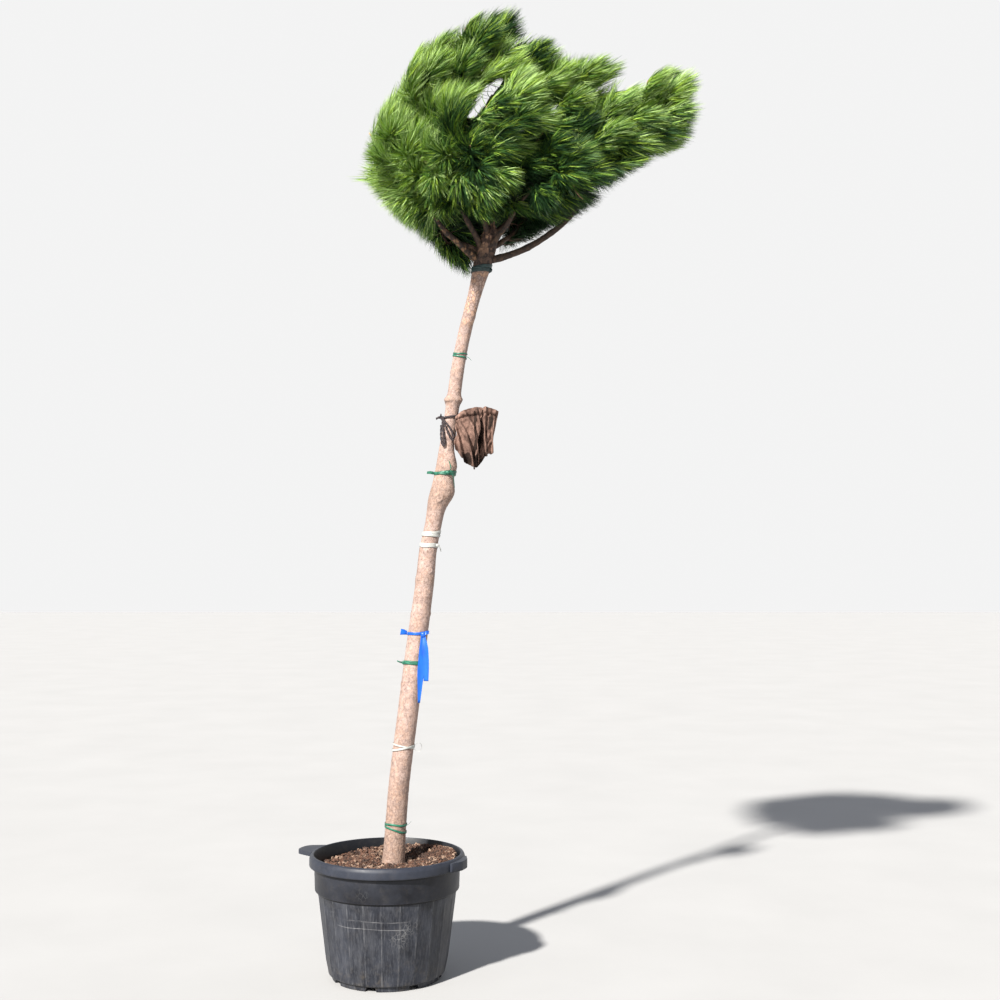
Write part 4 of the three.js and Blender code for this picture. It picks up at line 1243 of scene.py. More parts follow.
def grow_needles(crown, points, bare, tone, settings, random, planes, lay):
    """Clothes a shoot in bundles of needles that lean forward and curve."""
    length, _ = length_of(points)
    bundles = int(length * (1 - bare) * MM / settings.needle_step / NEEDLE["bundle"])
    if bundles < NEEDLE["least_bundles"]:
        return
    share, angle, spread, shade, turn = deal_needles(length, bare, bundles, random)
    count = len(share)
    foot = read_off(points, np.linspace(0, 1, len(points)), share)
    pick = np.clip((share * (len(points) - 1)).round().astype(int), 0, len(points) - 1)
    along, across, beside = (way[pick] for way in side_frames(points))
    outward = across * np.cos(angle)[:, None] + beside * np.sin(angle)[:, None]
    first = along * np.cos(spread)[:, None] + outward * np.sin(spread)[:, None]
    sweep = sweep_of(foot)
    first = unit(first + NEEDLE["first_sweep"] * sweep)
    wander = random.normal(0, NEEDLE["bundle_wander"], (bundles, 3))
    second = first + NEEDLE["on"] * along + NEEDLE["lay"] * lay + NEEDLE["sweep"] * sweep
    second = second + np.repeat(wander, NEEDLE["bundle"], axis=0)
    second = unit(second + random.normal(0, NEEDLE["wander"], (count, 3)))
    reach = random.uniform(NEEDLE["shortest"], NEEDLE["longest"], count)
    reach = settings.needle_length / MM * reach
    middle = foot + first * (reach * NEEDLE["bend"])[:, None]
    tip = middle + second * (reach * (1 - NEEDLE["bend"]))[:, None]
    side = unit(np.cross(first, turn))
    width = random.uniform(NEEDLE["thinnest"], NEEDLE["widest"], count)
    width = settings.needle_width / MM * width
    # Painted shade: needles deep inside the crown, and those facing down, are dealt darker greens.
    deep = np.rint(1.8 * smoothstep(0.72, 0.4, openness(foot)) + (outward[:, 2] < -0.25))
    tones = np.clip(tone + shade - deep, 0, len(GREENS) - 1).astype(int)
    kept = inside_planes(tip, planes, NEEDLE["overlap"])
    kept &= inside_reach(tip, random.uniform(-14, 8, count))
    stray = random.uniform(-17, 6, count)
    for part in (foot, (foot + middle) / 2, middle, (middle + tip) / 2, tip):
        kept &= out_of_openings(part, stray) & ~before_neck(part, stray)
    crown.add_needles(*(part[kept] for part in (foot, middle, tip, side, width, tones)))


def openness(points):
    """How near to the outside of the crown points lie: 0 at its heart, about 1
    at its surface."""
    away = points - CROWN_HEART
    reach = np.where(away > 0, CROWN_REACH[1], CROWN_REACH[0])
    return np.linalg.norm(away / reach, axis=-1)


def before_neck(points, room, reach=0):
    """Which points hang down before the bare boughs at the crown's foot."""
    along, depth, height = points[..., 0], points[..., 1], points[..., 2]
    level = np.interp(along, *zip(*NECK_BARE)) + NECK_CLIMB * depth
    return (depth < reach - 40 * (along < 280)) & (height < level + room)


def inside_reach(points, room):
    """Which points lie within the crown's own reach: inside the plant's box,
    under its wind-cut roof and over the underside that leaves the boughs bare."""
    low, high = (np.array(corner) / MM for corner in CAD_BOUNDS)
    out = np.maximum(low - points, points - high).max(axis=-1)
    along, depth, height = points[..., 0], points[..., 1], points[..., 2]
    roof = np.interp(along, *zip(*ROOF)) - ROOF_ROUND * depth**2
    floor = np.interp(along, *zip(*UNDERSIDE))
    floor = floor + UNDERSIDE_ROUND * depth**2 + UNDERSIDE_LEAN * depth
    return (out < room) & (height < roof + room) & (height > floor - room)


def out_of_openings(points, room, shoots=False):
    """Which points keep out of the openings that run back through the crown."""
    seen = np.stack([points[..., 0], points[..., 2] - OPENING_CLIMB * points[..., 1]], axis=-1)
    kept = np.ones(seen.shape[:-1], bool)
    for first, last, *halves in OPENINGS:
        first, run = np.array(first), np.subtract(last, first)
        share = np.clip((seen - first) @ run / (run @ run), 0, 1)
        away = np.linalg.norm(seen - first - share[..., None] * run, axis=-1)
        kept &= away > halves[shoots] + room
    return kept


def waver(points, random, size):
    """The line of points with a slight wavering that leaves its ends alone."""
    shares = np.linspace(0, 1, len(points))[:, None]
    swing = random.normal(0, size, (2, 3))
    return points + np.sin(shares * np.pi) * swing[0] + np.sin(shares * TURN) * swing[1]


def shoot_lines(stem, mass, aim, ends, needle):
    """A curve for each end: from its foot on the stem it bends over into the lay."""
    from_fork = ends - mass["start"]
    along = from_fork @ aim
    beside = from_fork - along[:, None] * aim
    reach = (stem[-1] - mass["start"]) @ aim
    level = (along - EGG["forward"] * np.linalg.norm(beside, axis=1)) / reach
    level = np.clip(np.rint(level * WHORLS) / WHORLS, EGG["bare"], 1)
    feet = stem[np.rint(level * (len(stem) - 1)).astype(int)]
    lay = lay_of(ends, aim)
    short = np.minimum(needle * 0.75, np.linalg.norm(ends - feet, axis=1) * 0.5)
    inner = ends - lay * short[:, None]
    span = np.linalg.norm(inner - feet, axis=1)[:, None]
    bends = inner - lay * span * 0.42
    bends = bends * 0.75 + (feet + unit(beside + 1e-6) * span * 0.3 + aim * span * 0.3) * 0.25
    return curve(feet[:, None], bends[:, None], inner[:, None], SHOOT_MARKS)


def bough_shoots(limb, count, random):
    """Short drooping shoots that spring from a bough on its way to its fork."""
    feet, _, _ = bough_line(limb, random.uniform(0.3, 0.95, count))
    ends = feet + random.uniform([10, 10, -55], [110, 80, 10], (count, 3))
    bends = feet + (ends - feet) * [0.7, 0.7, 0.15]
    lines = curve(feet[:, None], bends[:, None], ends[:, None], SHOOT_MARKS)
    return lines[inside_reach(ends, -15)]


def emptiest(lines, count):
    """Picks lines one by one, each where the foliage is emptiest so far."""
    samples = lines[:, [6, 9, 13]]
    nearest = np.full(samples.shape[:2], 1e6)
    nearest[0] = 2e6
    chosen = []
    for _ in range(min(count, len(lines))):
        pick = int(nearest.mean(axis=1).argmax())
        chosen.append(pick)
        for point in samples[pick]:
            nearest = np.minimum(nearest, np.linalg.norm(samples - point, axis=2))
        nearest[chosen] = -1
    return chosen


def mass_stem(mass, aim, length, random):
    """The stem that runs on from a mass's fork along its middle, and its radii."""
    reach = min(length * STEM["reach"], length - STEM["tip_room"])
    shares = np.linspace(0, 1, 25)
    stem, _ = bend_curve(
        mass["start"] - mass["heading"] * STEM["root"],
        mass["start"] + mass["heading"] * reach * STEM["bend"],
        mass["start"] + aim * reach, shares)
    radii = STEM["foot_radius"] + (STEM["tip_radius"] - STEM["foot_radius"]) * shares
    return stem, waver(stem, random, STEM["waver"]), radii


def shoot_ends(mass, aim, length, planes, tries, random):
    """Places in the egg of a mass for its shoots to end at, its tip first."""
    flat = unit(np.cross(aim, [0, 0, 1]))
    rise = np.cross(flat, aim)
    height = EGG["highest"] - EGG["back"] * random.random(tries)
    around = random.random(tries) * TURN
    ring = np.sqrt(1 - height**4) * random.random(tries) ** EGG["fill"] * EGG["girth"]
    ends = mass["start"] + aim * ((1 + height) * length / 2)[:, None]
    ends = ends + rise * (ring * np.cos(around) * mass["width"] / 2)[:, None]
    ends = ends + flat * (ring * np.sin(around) * mass["depth"] / 2)[:, None]
    ends = ends[inside_planes(ends, planes, 18) & inside_reach(ends, -18)]
    return np.concatenate([[mass["tip"]], ends])


def grow_mass(mass, masses, settings):
    """Grows one mass by the plant's rule: a stem runs on from the fork, and
    shoots fan out from it to ends within an egg, wherever it is emptiest."""
    random = np.random.default_rng([settings.seed, len(mass["name"]), int(mass["tip"][2])])
    planes = dividing_planes(mass, masses)
    crown = Crown()
    length = np.linalg.norm(mass["tip"] - mass["start"])
    aim = (mass["tip"] - mass["start"]) / length
    stem, wavering, radii = mass_stem(mass, aim, length, random)
    crown.add_tube(wavering, radii, 8)

    litres = 4 / 3 * math.pi * length / 2 * mass["width"] / 2 * mass["depth"] / 2 / 1e6
    count = max(int(litres / settings.shoot_room), FEWEST_SHOOTS)
    ends = shoot_ends(mass, aim, length, planes, TRIES * count, random)
    lines = shoot_lines(stem, mass, aim, ends, settings.needle_length / MM)
    clear = out_of_openings(lines, 0, shoots=True).all(axis=1)
    clear &= ~before_neck(lines[:, 5:], 20, 60).any(axis=1)
    clear &= inside_reach(lines[:, 6:], -8).all(axis=1)
    lines, ends = lines[clear], ends[clear]
    picks = emptiest(lines, count)
    if mass["name"] in BOUGH_SHOOTS:
        limb = next(limb for limb in LIMBS if limb[0] == mass["name"])
        extra = bough_shoots(limb, BOUGH_SHOOTS[limb[0]], random)
        picks += range(len(lines), len(lines) + len(extra))
        lines, ends = np.concatenate([lines, extra]), np.concatenate([ends, extra[:, -1]])
    for k in picks:
        line = waver(lines[k], random, SHOOT["waver"])
        crown.add_tube(line, np.linspace(SHOOT["foot_radius"], SHOOT["tip_radius"], len(line)))
        bare = max(1 - settings.clad / MM / length_of(line)[0], SHOOT["least_bare"])
        tone = shoot_tone(ends[k], random)
        grow_needles(crown, line, bare, tone, settings, random, planes, lay_of(ends[k], aim))
    return crown


GREENS = [
    ("needle_deep_green", (0.0082, 0.0282, 0.0082)),
    ("needle_dark_green", (0.0246, 0.0728, 0.0182)),
    ("needle_green", (0.069, 0.155, 0.0273)),
    ("needle_bright_green", (0.153, 0.268, 0.0328)),
    ("needle_lime_green", (0.264, 0.396, 0.0455)),
    ("needle_straw_green", (0.364, 0.519, 0.182)),
]


def shoot_tone(end, random):
    """Which green a shoot has: lighter high up and to windward, where the sun falls, and darker
    below, as painted light and shade; darker in painted shade at the back; and darker on the topmost
    plume."""
    height = np.clip((end[2] - CROWN_LOW) / (CROWN_HIGH - CROWN_LOW), 0, 1)
    windward_painted_light = np.clip((CROWN_HEART[0] - end[0]) / TONE["windward_reach"], 0, 1)
    lee = np.clip((end[0] - CROWN_HEART[0]) / TONE["lee_reach"], 0, 1)
    back = smoothstep(-40, 120, end[1]) * smoothstep(3050, 2900, end[2])
    # Painted light and shade: greens lighter high up and on the sunlit windward side, darker low down
    # and at the shaded back.
    level = TONE["low"] + TONE["height"] * smoothstep(0.35, 0.9, height)
    level = level - TONE["plume"] * smoothstep(3500, 3670, end[2])
    level = level + TONE["windward_painted_light"] * windward_painted_light + TONE["lee"] * lee
    level = level + random.normal(0, TONE["varies"]) - TONE["shaded_back"] * back
    return int(np.clip(round(level), 0, len(GREENS) - 1))


def needle_piece(name, crown, greens):
    """Joins all the needles of a mass: each is a bent blade of two faces."""
    foot, middle, tip, side, width, tone = (
        np.concatenate([group[k] for group in crown.needles]) for k in range(6))
    half = side * (width / 2)[:, None]
    corners = np.stack(
        [foot - half, foot + half, middle + half * 0.9, middle - half * 0.9, tip], axis=1)
    first = (np.arange(len(foot)) * 5)[:, None]
    quads = first + np.array([0, 1, 2, 3])
    tips = first + np.array([3, 2, 4])
    return piece_of_arrays(
        name, corners.reshape(-1, 3) * MM, [quads, tips], [tone, tone], greens)


def twig_piece(name, crown, barks):
    """Joins all the twigs of a mass: tapering tubes with closed ends, in a dark bark where they
    spring low on the plant, partly old bark and partly painted shade under the crown."""
    corners, quads, caps, sides_tones, cap_tones = [], [], {}, [], {}
    start = 0
    for points, radii, sides in crown.tubes:
        _, across, beside = side_frames(points)
        angle = np.arange(sides) / sides * TURN
        ring = (
            across[:, None] * np.cos(angle)[None, :, None]
            + beside[:, None] * np.sin(angle)[None, :, None])
        corners.append((points[:, None] + ring * np.asarray(radii)[:, None, None]).reshape(-1, 3))
        row = start + np.arange(len(points) - 1)[:, None] * sides
        here, after = np.arange(sides), (np.arange(sides) + 1) % sides
        quads.append(np.stack(
            [row + here, row + after, row + sides + after, row + sides + here], axis=-1
        ).reshape(-1, 4))
        old_and_shaded = int(points[0][2] < OLD_AND_SHADED_BARK_BELOW)
        sides_tones.append(np.full(len(quads[-1]), old_and_shaded))
        last = start + (len(points) - 1) * sides
        caps.setdefault(sides, []).extend([start + here[::-1], last + here])
        cap_tones.setdefault(sides, []).extend([old_and_shaded, old_and_shaded])
        start += len(points) * sides
    faces = [np.concatenate(quads)] + [np.array(group) for group in caps.values()]
    tones = [np.concatenate(sides_tones)] + [np.array(group) for group in cap_tones.values()]
    corners = np.concatenate(corners) * MM
    return piece_of_arrays(name, corners, faces, tones, barks, smooth=True)


class STONEPINE_OT_foliage(bpy.types.Operator):
    """Grows each mass of foliage: its stem, its shoots and their needles"""

    bl_idname = "stonepine.foliage"
    bl_label = "Foliage"

    def execute(self, context):
        settings = context.scene.pine_crown
        greens = [needle_green(name, colour) for name, colour in GREENS]
        barks = [
            twig_bark("twig_bark", (0.2, 0.12, 0.06), (0.46, 0.31, 0.17)),
            # Dark bark for twigs low under the crown: partly old bark, partly painted shade.
            twig_bark("low_twig_bark_and_shade", (0.022, 0.012, 0.007), (0.11, 0.06, 0.035)),
        ]
        masses = foliage_masses()
        for mass in masses:
            crown = grow_mass(mass, masses, settings)
            needles = needle_piece(f"needles_{mass['name']}", crown, greens)
            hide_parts(f"foliage_{mass['name']}")
            twig_piece(f"twigs_{mass['name']}", crown, barks)
        return {"FINISHED"}


# ----------------------------------------------------- ties, ribbon and cloth


TAPE_THICKNESS, BAND_THICKNESS = 0.8, 1.5


def tape_band(height, width, lift=1.6, tilt=0.0, toward=0.0, wave=0.0):
    """A band of tape round the trunk, tilted towards one side."""

    def place(angle, share):
        section = share * TURN
        middle = height + tilt * np.cos(angle - toward) + wave * np.sin(3 * angle + height)
        level = middle + width / 2 * np.cos(section)
        return on_trunk(angle, level, lift + BAND_THICKNESS / 2 * (1 + np.sin(section)))

    return wrapped_grid(72, 10, place, closed=True)


def strip(points, widths, side):
    """A flat strip of tape through points in millimetres, `side` across it."""
    line, rows = smooth_line(points, 6, 6)
    spans = np.interp(rows, np.arange(len(points)), widths)
    side = unit(np.array(side, float))
    face = unit(np.cross(np.gradient(line, axis=0), side))
    marks = np.linspace(0, 1, len(line))

    def place(angle, share):
        span = np.interp(share, marks, spans)
        flat = side[None] * (np.cos(angle) * span / 2)[:, None]
        curl = (np.cos(angle) ** 2 * span * 0.08)[:, None]
        thick = read_off(face, marks, share) * (np.sin(angle)[:, None] * TAPE_THICKNESS / 2 + curl)
        return (read_off(line, marks, share) + flat + thick) * MM

    return wrapped_grid(16, len(line), place)


def knot_lump(centre, size):
    """A small tied knot: a rounded lump."""
    shape = bmesh.new()
    bmesh.ops.create_icosphere(shape, subdivisions=3, radius=1)
    for vert in shape.verts:
        crease = 1 + 0.16 * math.sin(7 * vert.co.x + 5 * vert.co.z) * math.cos(6 * vert.co.y)
        vert.co = Vector([vert.co[k] * size[k] * crease + centre[k] for k in range(3)]) * MM
    return shape


def side_point(height, angle, lift=3):
    """A point off the trunk's surface, in millimetres."""
    return on_trunk(np.array([math.radians(angle)]), np.array([height]), lift)[0] / MM


def led_from(start, *steps):
    """A line's points: its start, and places given by how far off it they are."""
    return start + np.array([(0, 0, 0), *steps])


def tail(start, widths, side, *steps):
    """A strip of tape that leads away from a point."""
    return strip(led_from(start, *steps), widths, side)


def tie(name, shapes, material, slot, *nodes):
    """One piece of shapes joined, in place of the nodes that are named."""
    piece = piece_of(name, join_shapes(shapes), [material])
    if nodes:
        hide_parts(*nodes)


def green_ties():
    """Builds the whorl's dark tape and the four green ties below it."""
    green = tape_plastic("green_tie_tape", (0.006, 0.075, 0.045), (0.04, 0.19, 0.12))
    dark = tape_plastic("dark_tie_tape", (0.004, 0.016, 0.018), (0.02, 0.06, 0.055))
    tie("whorl_tape", [
        tape_band(2752, 15, tilt=5), tape_band(2739, 13, tilt=2, lift=2.2),
        tape_band(2745, 8, tilt=-6, lift=3), knot_lump(side_point(2741, -18), (8, 7, 9)),
    ], dark, "tie_green")
    tie("upper_green_tie", [
        tape_band(2411, 6, tilt=3, toward=2.2, wave=1), tape_band(2398, 7, tilt=-6, wave=1),
        tail(side_point(2398, -20), [5, 4, 2], (0.2, 1, 0.6), (10, -8, -6), (19, -8, -16)),
    ], green, "tie_green", "tie_green_upper")
    knot = side_point(1940, -62, 5)
    left = side_point(1940, 190, 4)
    tie("middle_green_tie", [
        tape_band(1940, 12, wave=1.2, tilt=2), tape_band(1936, 7, lift=2.6, tilt=-4),
        knot_lump(knot, (9, 6, 8)),
        tail(knot, [7, 5, 3], (1, 0.1, 0.4), (16, -9, 14), (5, -12, 46)),
        tail(knot, [9, 8, 5], (0.6, 1, 0), (22, -4, -10), (27, 0, -60)),
        tail(left, [12, 12, 10], (0.1, 0.2, 1), (-14, -6, 2), (-26, -10, 1)),
    ], green, "tie_green", "tie_green_middle")
    knot = side_point(1201, 200, 4)
    tie("lower_green_tie", [
        tape_band(1202, 15, wave=1), knot_lump(knot, (6, 6, 7)),
        tail(knot, [7, 6, 4], (0.1, 0.2, 1), (-14, -6, 3), (-24, -10, 8)),
    ], green, "tie_green")
    tie("foot_green_ties", [
        tape_band(579, 8, tilt=3, toward=3.4, wave=1.5), tape_band(560, 8, tilt=-13, wave=1),
        tail(side_point(575, -12, 4), [7, 6, 3], (0.4, 1, 0.3), (8, -8, 6), (17, -10, 17)),
    ], green, "tie_green", "tie_green_foot")


def white_ties():
    """Builds the three white ties."""
    white = tape_plastic("white_tie_tape", (0.3, 0.31, 0.29), (0.46, 0.45, 0.43))
    tie("upper_white_tie", [
        tape_band(1705, 13, wave=1.5, tilt=2), tape_band(1696, 10, lift=2.4, tilt=-3),
    ], white, "tie_white", "tie_white_upper")
    knot = side_point(1656, -30, 5)
    tie("middle_white_tie", [
        tape_band(1657, 17, wave=1.5, tilt=-3), knot_lump(knot, (8, 6, 7)),
        tail(knot, [11, 10, 6], (0.5, 1, 0.2), (10, -6, -8), (14, -6, -24)),
    ], white, "tie_white")
    loop = [(-6, -2, 6), (14, -6, 18), (27, -5, 6), (20, -4, -20), (-2, -3, -10)]
    tie("lower_white_tie", [
        tape_band(880, 7, tilt=8, toward=math.pi), tape_band(872, 8, tilt=9, lift=2.4),
        strip(side_point(876, -8, 5) + np.array(loop), [8, 8, 9, 8, 7], (0.1, 1, 0.1)),
    ], white, "tie_white", "tie_white_lower")


class STONEPINE_OT_ties(bpy.types.Operator):
    """Builds the green and white tape ties on the trunk"""

    bl_idname = "stonepine.ties"
    bl_label = "Tape Ties"

    def execute(self, context):
        green_ties()
        white_ties()
        return {"FINISHED"}


class STONEPINE_OT_ribbon(bpy.types.Operator):
    """Builds the blue ribbon with its knot and its two hanging tails"""

    bl_idname = "stonepine.ribbon"
    bl_label = "Blue Ribbon"

    def execute(self, context):
        knot = side_point(1310, -58, 5)
        left = side_point(1316, 190, 4)
        tie("blue_ribbon", [
            tape_band(1316, 11, tilt=3, toward=0.3, wave=1.2), knot_lump(knot, (11, 8, 12)),
            tail(left, [15, 21, 24], (0.1, 0.2, 1), (-12, -6, 4), (-25, -9, 5)),
            tail(knot, [12, 15, 12], (0.1, 0.3, 1), (11, -5, 8), (22, 2, 9)),
            tail(knot, [17, 24, 27, 9], (1, 0.15, 0), (-3, -9, -55), (-9, -5, -140),
                 (-16, -2, -262)),
            tail(knot, [15, 26, 25, 20], (1, -0.3, 0), (9, -11, -50), (12, -8, -120),
                 (12, -5, -178)),
        ], ribbon_plastic(), "ribbon_blue", "ribbon_blue")
        return {"FINISHED"}


def twine(points, radius=3.4):
    """A length of twine through points in millimetres, made of two strands."""
    line, _ = smooth_line(points, 10, 14)
    _, across, beside = side_frames(line)
    run = np.concatenate([[0], np.cumsum(length_of(line)[1])])
    strands = []
    for phase in (0, math.pi):
        turn = run / 5.5 + phase
        offset = across * np.cos(turn)[:, None] + beside * np.sin(turn)[:, None]
        strand = line + offset * radius * 0.55
        place = tube_place(strand, np.full(len(strand), radius * 0.75))
        strands.append(wrapped_grid(8, len(strand) * 2, place))
    return join_shapes(strands)


class STONEPINE_OT_twine(bpy.types.Operator):
    """Builds the navy twine round the trunk with its knot and loops"""

    bl_idname = "stonepine.twine"
    bl_label = "Navy Twine"

    def execute(self, context):
        turns = [
            side_point(2160 + 4 * math.cos(math.radians(angle)), angle, 3.5 + (k % 2))
            for k, angle in enumerate(range(-175, 560, 15))
        ]
        knot = side_point(2155, 200, 8)
        loops = [
            twine(led_from(
                knot, (14, -22, -18), (34, -27, -44), (46, -26, -76), (40, -28, -92),
                (27, -28, -70), (14, -24, -36), (4, -12, -12))),
            twine(led_from(
                knot, (2, -18, -36), (7, -24, -74), (12, -25, -104), (2, -24, -112),
                (-5, -20, -76), (-4, -10, -28))),
            twine(led_from(knot, (-12, -5, 3), (-24, -8, -3)), 4),
            twine(led_from(knot, (-6, -8, 8), (-5, -10, 16)), 3),
        ]
        tie("navy_twine", [twine(turns), knot_lump(knot, (8, 7, 8)), *loops],
            twine_fibre(), "twine", "twine_band")
        return {"FINISHED"}


SHEET_STEPS = 90
# The rag's sheets: top and bottom edge, pleats, their depth and slant, how far it swells and its
# seed. Then where it is painted dark as shade, in its folds and gaps, along its foot and over all of
# the sheet behind: from and to across the sheet, from and to down it, and how that place slants.
RAG_SHEETS = [
    ([(262, -36, 2158), (282, -38, 2177), (310, -36, 2190), (345, -32, 2196), (364, -28, 2196)],
     [(264, -24, 2046), (280, -24, 1998), (314, -26, 1974), (338, -24, 1950), (344, -22, 1972)],
     2.6, 16, -0.8, 26, 2,
     [(0.3, 0.56, 0.84, 1.1, 0), (0.64, 0.98, 0.76, 1.1, 0), (0.66, 0.74, 0.1, 0.9, -0.06)]),
    ([(350, 8, 2188), (378, -20, 2200), (404, -20, 2193), (430, -16, 2181)],
     [(346, 10, 1980), (372, -18, 2002), (390, -22, 2014), (403, -14, 2015)],
     1.9, 15, -0.3, 10, 5,
     [(0.0, 0.16, 0.2, 1.1, 0), (0.55, 0.8, 0.16, 0.44, 0), (0.3, 0.7, 0.9, 1.1, 0)]),
    ([(275, 14, 2150), (330, 20, 2180), (410, 14, 2170)],
     [(288, -2, 2004), (342, 4, 1962), (396, 10, 2030)],
     1.3, 6, 0.4, 0, 9,
     [(-1, 2, -1, 2, 0)]),
]


def rag_sheet(top, bottom, pleats, depth, slant, belly, seed, painted_shade_places):
    """A hanging cloth between a top and a bottom edge. Its pleats slant across
    it, deepen towards its foot, and it swells forward by belly between edges."""
    shape = bmesh.new()
    bmesh.ops.create_grid(shape, x_segments=SHEET_STEPS, y_segments=SHEET_STEPS, size=0.5)
    shape.verts.ensure_lookup_table()
    flat = np.array([vert.co[:2] for vert in shape.verts])
    across, down = flat[:, 0] + 0.5, 0.5 - flat[:, 1]

    def edge(points):
        return read_off(points, np.linspace(0, 1, len(points)), across)

    ragged = 5 * soft_noise(across * 14, down * 0, UNENDING, seed)
    ragged = ragged + 2 * soft_noise(across * 40, down * 0, UNENDING, seed)
    hang = edge(top) + (edge(bottom) - edge(top)) * down[:, None]
    hang[:, 2] -= ragged * down**3
    phase = (across + slant * down + 0.06 * np.sin(5 * down + seed)) * pleats * TURN + seed
    swell = np.maximum(np.sin(phase), -0.55) + 0.3 * np.sin(2.3 * phase + 4 * down)
    creases = soft_noise(across * 9 + 3 * down, down * 7, UNENDING, seed + 4)
    creases = creases + 0.5 * soft_noise(
        across * 19, down * 17 + 5 * across, UNENDING, seed + 5)
    hang[:, 1] -= depth * swell * (0.4 + 0.6 * down) + 4 * creases + belly * np.sin(np.pi * down)
    hang[:, 0] += depth * 0.45 * np.cos(phase) * down
    hang[:, 1] += 9 * hump(down, 0.14, 0.03) - 4 * hump(down, 0.06, 0.05)
    for vert, place in zip(shape.verts, hang):
        vert.co = place * MM
    for k, face in enumerate(shape.faces):
        face.material_index = int(shows_painted_shade(k, painted_shade_places))
    return shape


def shows_painted_shade(face, painted_shade_places):
    """Whether a face of a sheet is painted dark as shade, by its place across and down."""
    across, down = (face % SHEET_STEPS) / SHEET_STEPS, 1 - (face // SHEET_STEPS) / SHEET_STEPS
    ragged = down + 0.04 * math.sin(30 * across)
    return any(
        left < across + slant * down < right and high < ragged < low
        for left, right, high, low, slant in painted_shade_places)


class STONEPINE_OT_cloth(bpy.types.Operator):
    """Builds the brown rag that hangs from the twine"""

    bl_idname = "stonepine.cloth"
    bl_label = "Brown Rag"

    def execute(self, context):
        sheets = [rag_sheet(*sheet) for sheet in RAG_SHEETS]
        brown = rag_weave("brown_rag", (0.05, 0.027, 0.021), (0.27, 0.165, 0.13))
        # Painted shade: a near-black copy of the rag laid in its folds and gaps and on the sheet
        # behind.
        shaded = rag_weave("rag_painted_shade", (0.01, 0.006, 0.005), (0.04, 0.024, 0.019))
        rag = piece_of("brown_rag", join_shapes(sheets), [brown, shaded])
        wall = rag.modifiers.new("thickness", "SOLIDIFY")
        wall.thickness = 2.2 * MM
        wall.offset = 0
        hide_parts("cloth")
        return {"FINISHED"}


# -------------------------------------------------------------------- stage


SUN_HEADING = (0.5, 0.81, -0.74)
SUN_SPREAD = math.radians(3)
SUN_COLOUR = (1.0, 0.965, 0.91)
SKY = ((0.42, (1, 1, 1, 1)), (0.58, (0.25, 0.28, 0.35, 1)))  # colours by height of the light
FLOOR_REACH = 40  # metres from the plant to each edge of the floor
SENSOR_WIDTH = 36


def stand(scene, name, data):
    """A new object of the stage that shows some data."""
    thing = bpy.data.objects.new(name, data)
    scene.collection.objects.link(thing)
    return thing


def lay_floor(scene):
    shape = bmesh.new()
    bmesh.ops.create_grid(shape, x_segments=1, y_segments=1, size=FLOOR_REACH)
    mesh = bpy.data.meshes.new("pale_floor")
    shape.to_mesh(mesh)
    shape.free()
    mesh.materials.append(floor_paint())
    floor = stand(scene, "pale_floor", mesh)


def light_sky(scene, strength):
    """Soft light from all round: white from below and the sides, bluer from above."""
    world = bpy.data.worlds.new("soft_sky")
    world.use_nodes = True
    nodes, links = world.node_tree.nodes, world.node_tree.links
    parts = nodes.new("ShaderNodeSeparateXYZ")
    links.new(nodes.new("ShaderNodeTexCoord").outputs["Generated"], parts.inputs[0])
    ramp = nodes.new("ShaderNodeValToRGB")
    for element, (share, colour) in zip(ramp.color_ramp.elements, SKY):
        element.position, element.color = share, colour
    links.new(parts.outputs["Z"], ramp.inputs["Fac"])
    sky = nodes["Background"]
    links.new(ramp.outputs["Color"], sky.inputs["Color"])
    sky.inputs["Strength"].default_value = strength
    scene.world = world


def hang_sun(scene, strength):
    sun = bpy.data.lights.new("key_sun", "SUN")
    sun.energy, sun.angle, sun.color = strength, SUN_SPREAD, SUN_COLOUR
    lamp = stand(scene, "key_sun", sun)
    lamp.rotation_euler = Vector(SUN_HEADING).to_track_quat("-Z", "Y").to_euler()


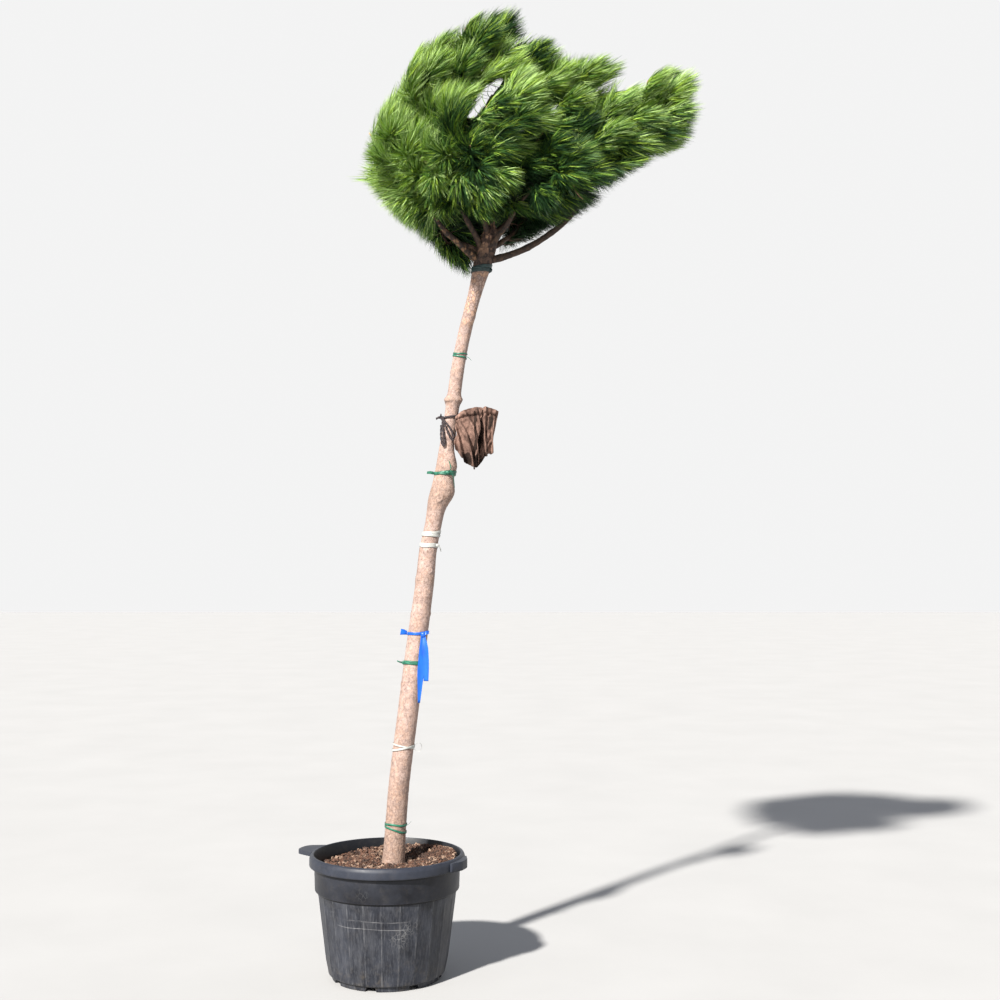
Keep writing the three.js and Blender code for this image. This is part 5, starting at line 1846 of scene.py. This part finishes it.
def set_camera(scene, settings):
    camera = bpy.data.cameras.new("camera")
    camera.lens, camera.sensor_width = settings.lens, SENSOR_WIDTH
    view = stand(scene, "camera", camera)
    view.location = settings.camera_place
    view.rotation_euler = (math.pi / 2 + settings.camera_pitch, 0, 0)
    scene.camera = view


class STONEPINE_OT_stage(bpy.types.Operator):
    """Sets the pale floor, the soft light and the camera"""

    bl_idname = "stonepine.stage"
    bl_label = "Stage"

    def execute(self, context):
        scene = context.scene
        lay_floor(scene)
        light_sky(scene, scene.pine_stage.sky_strength)
        hang_sun(scene, scene.pine_stage.sun_strength)
        set_camera(scene, scene.pine_stage)
        scene.view_settings.view_transform = "Standard"
        return {"FINISHED"}


class STONEPINE_PT_panel(bpy.types.Panel):
    """Lists the pieces of the potted pine"""

    bl_idname = "STONEPINE_PT_panel"
    bl_label = "Stone Pine"
    bl_space_type = "VIEW_3D"
    bl_region_type = "UI"
    bl_category = "Stone Pine"

    def draw(self, context):
        layout = self.layout
        for operator in OPERATORS:
            layout.operator(operator.bl_idname)
        for group, settings in SETTINGS.items():
            box = layout.box()
            for key in settings.__annotations__:
                box.prop(getattr(context.scene, group), key)


OPERATORS = [
    STONEPINE_OT_stage,
    STONEPINE_OT_pot,
    STONEPINE_OT_soil,
    STONEPINE_OT_trunk,
    STONEPINE_OT_boughs,
    STONEPINE_OT_foliage,
    STONEPINE_OT_ties,
    STONEPINE_OT_ribbon,
    STONEPINE_OT_twine,
    STONEPINE_OT_cloth,
]
SETTINGS = {
    "pine_pot": PotSettings,
    "pine_bark": BarkSettings,
    "pine_crown": CrownSettings,
    "pine_stage": StageSettings,
}


def register():
    for cls in (*SETTINGS.values(), *OPERATORS, STONEPINE_PT_panel):
        bpy.utils.register_class(cls)
    for name, cls in SETTINGS.items():
        setattr(bpy.types.Scene, name, bpy.props.PointerProperty(type=cls))


def unregister():
    for name in SETTINGS:
        delattr(bpy.types.Scene, name)
    for cls in reversed((*SETTINGS.values(), *OPERATORS, STONEPINE_PT_panel)):
        bpy.utils.unregister_class(cls)


def main():
    register()
    for operator in OPERATORS:
        group, name = operator.bl_idname.split(".")
        getattr(getattr(bpy.ops, group), name)()


if __name__ == "__main__":
    main()
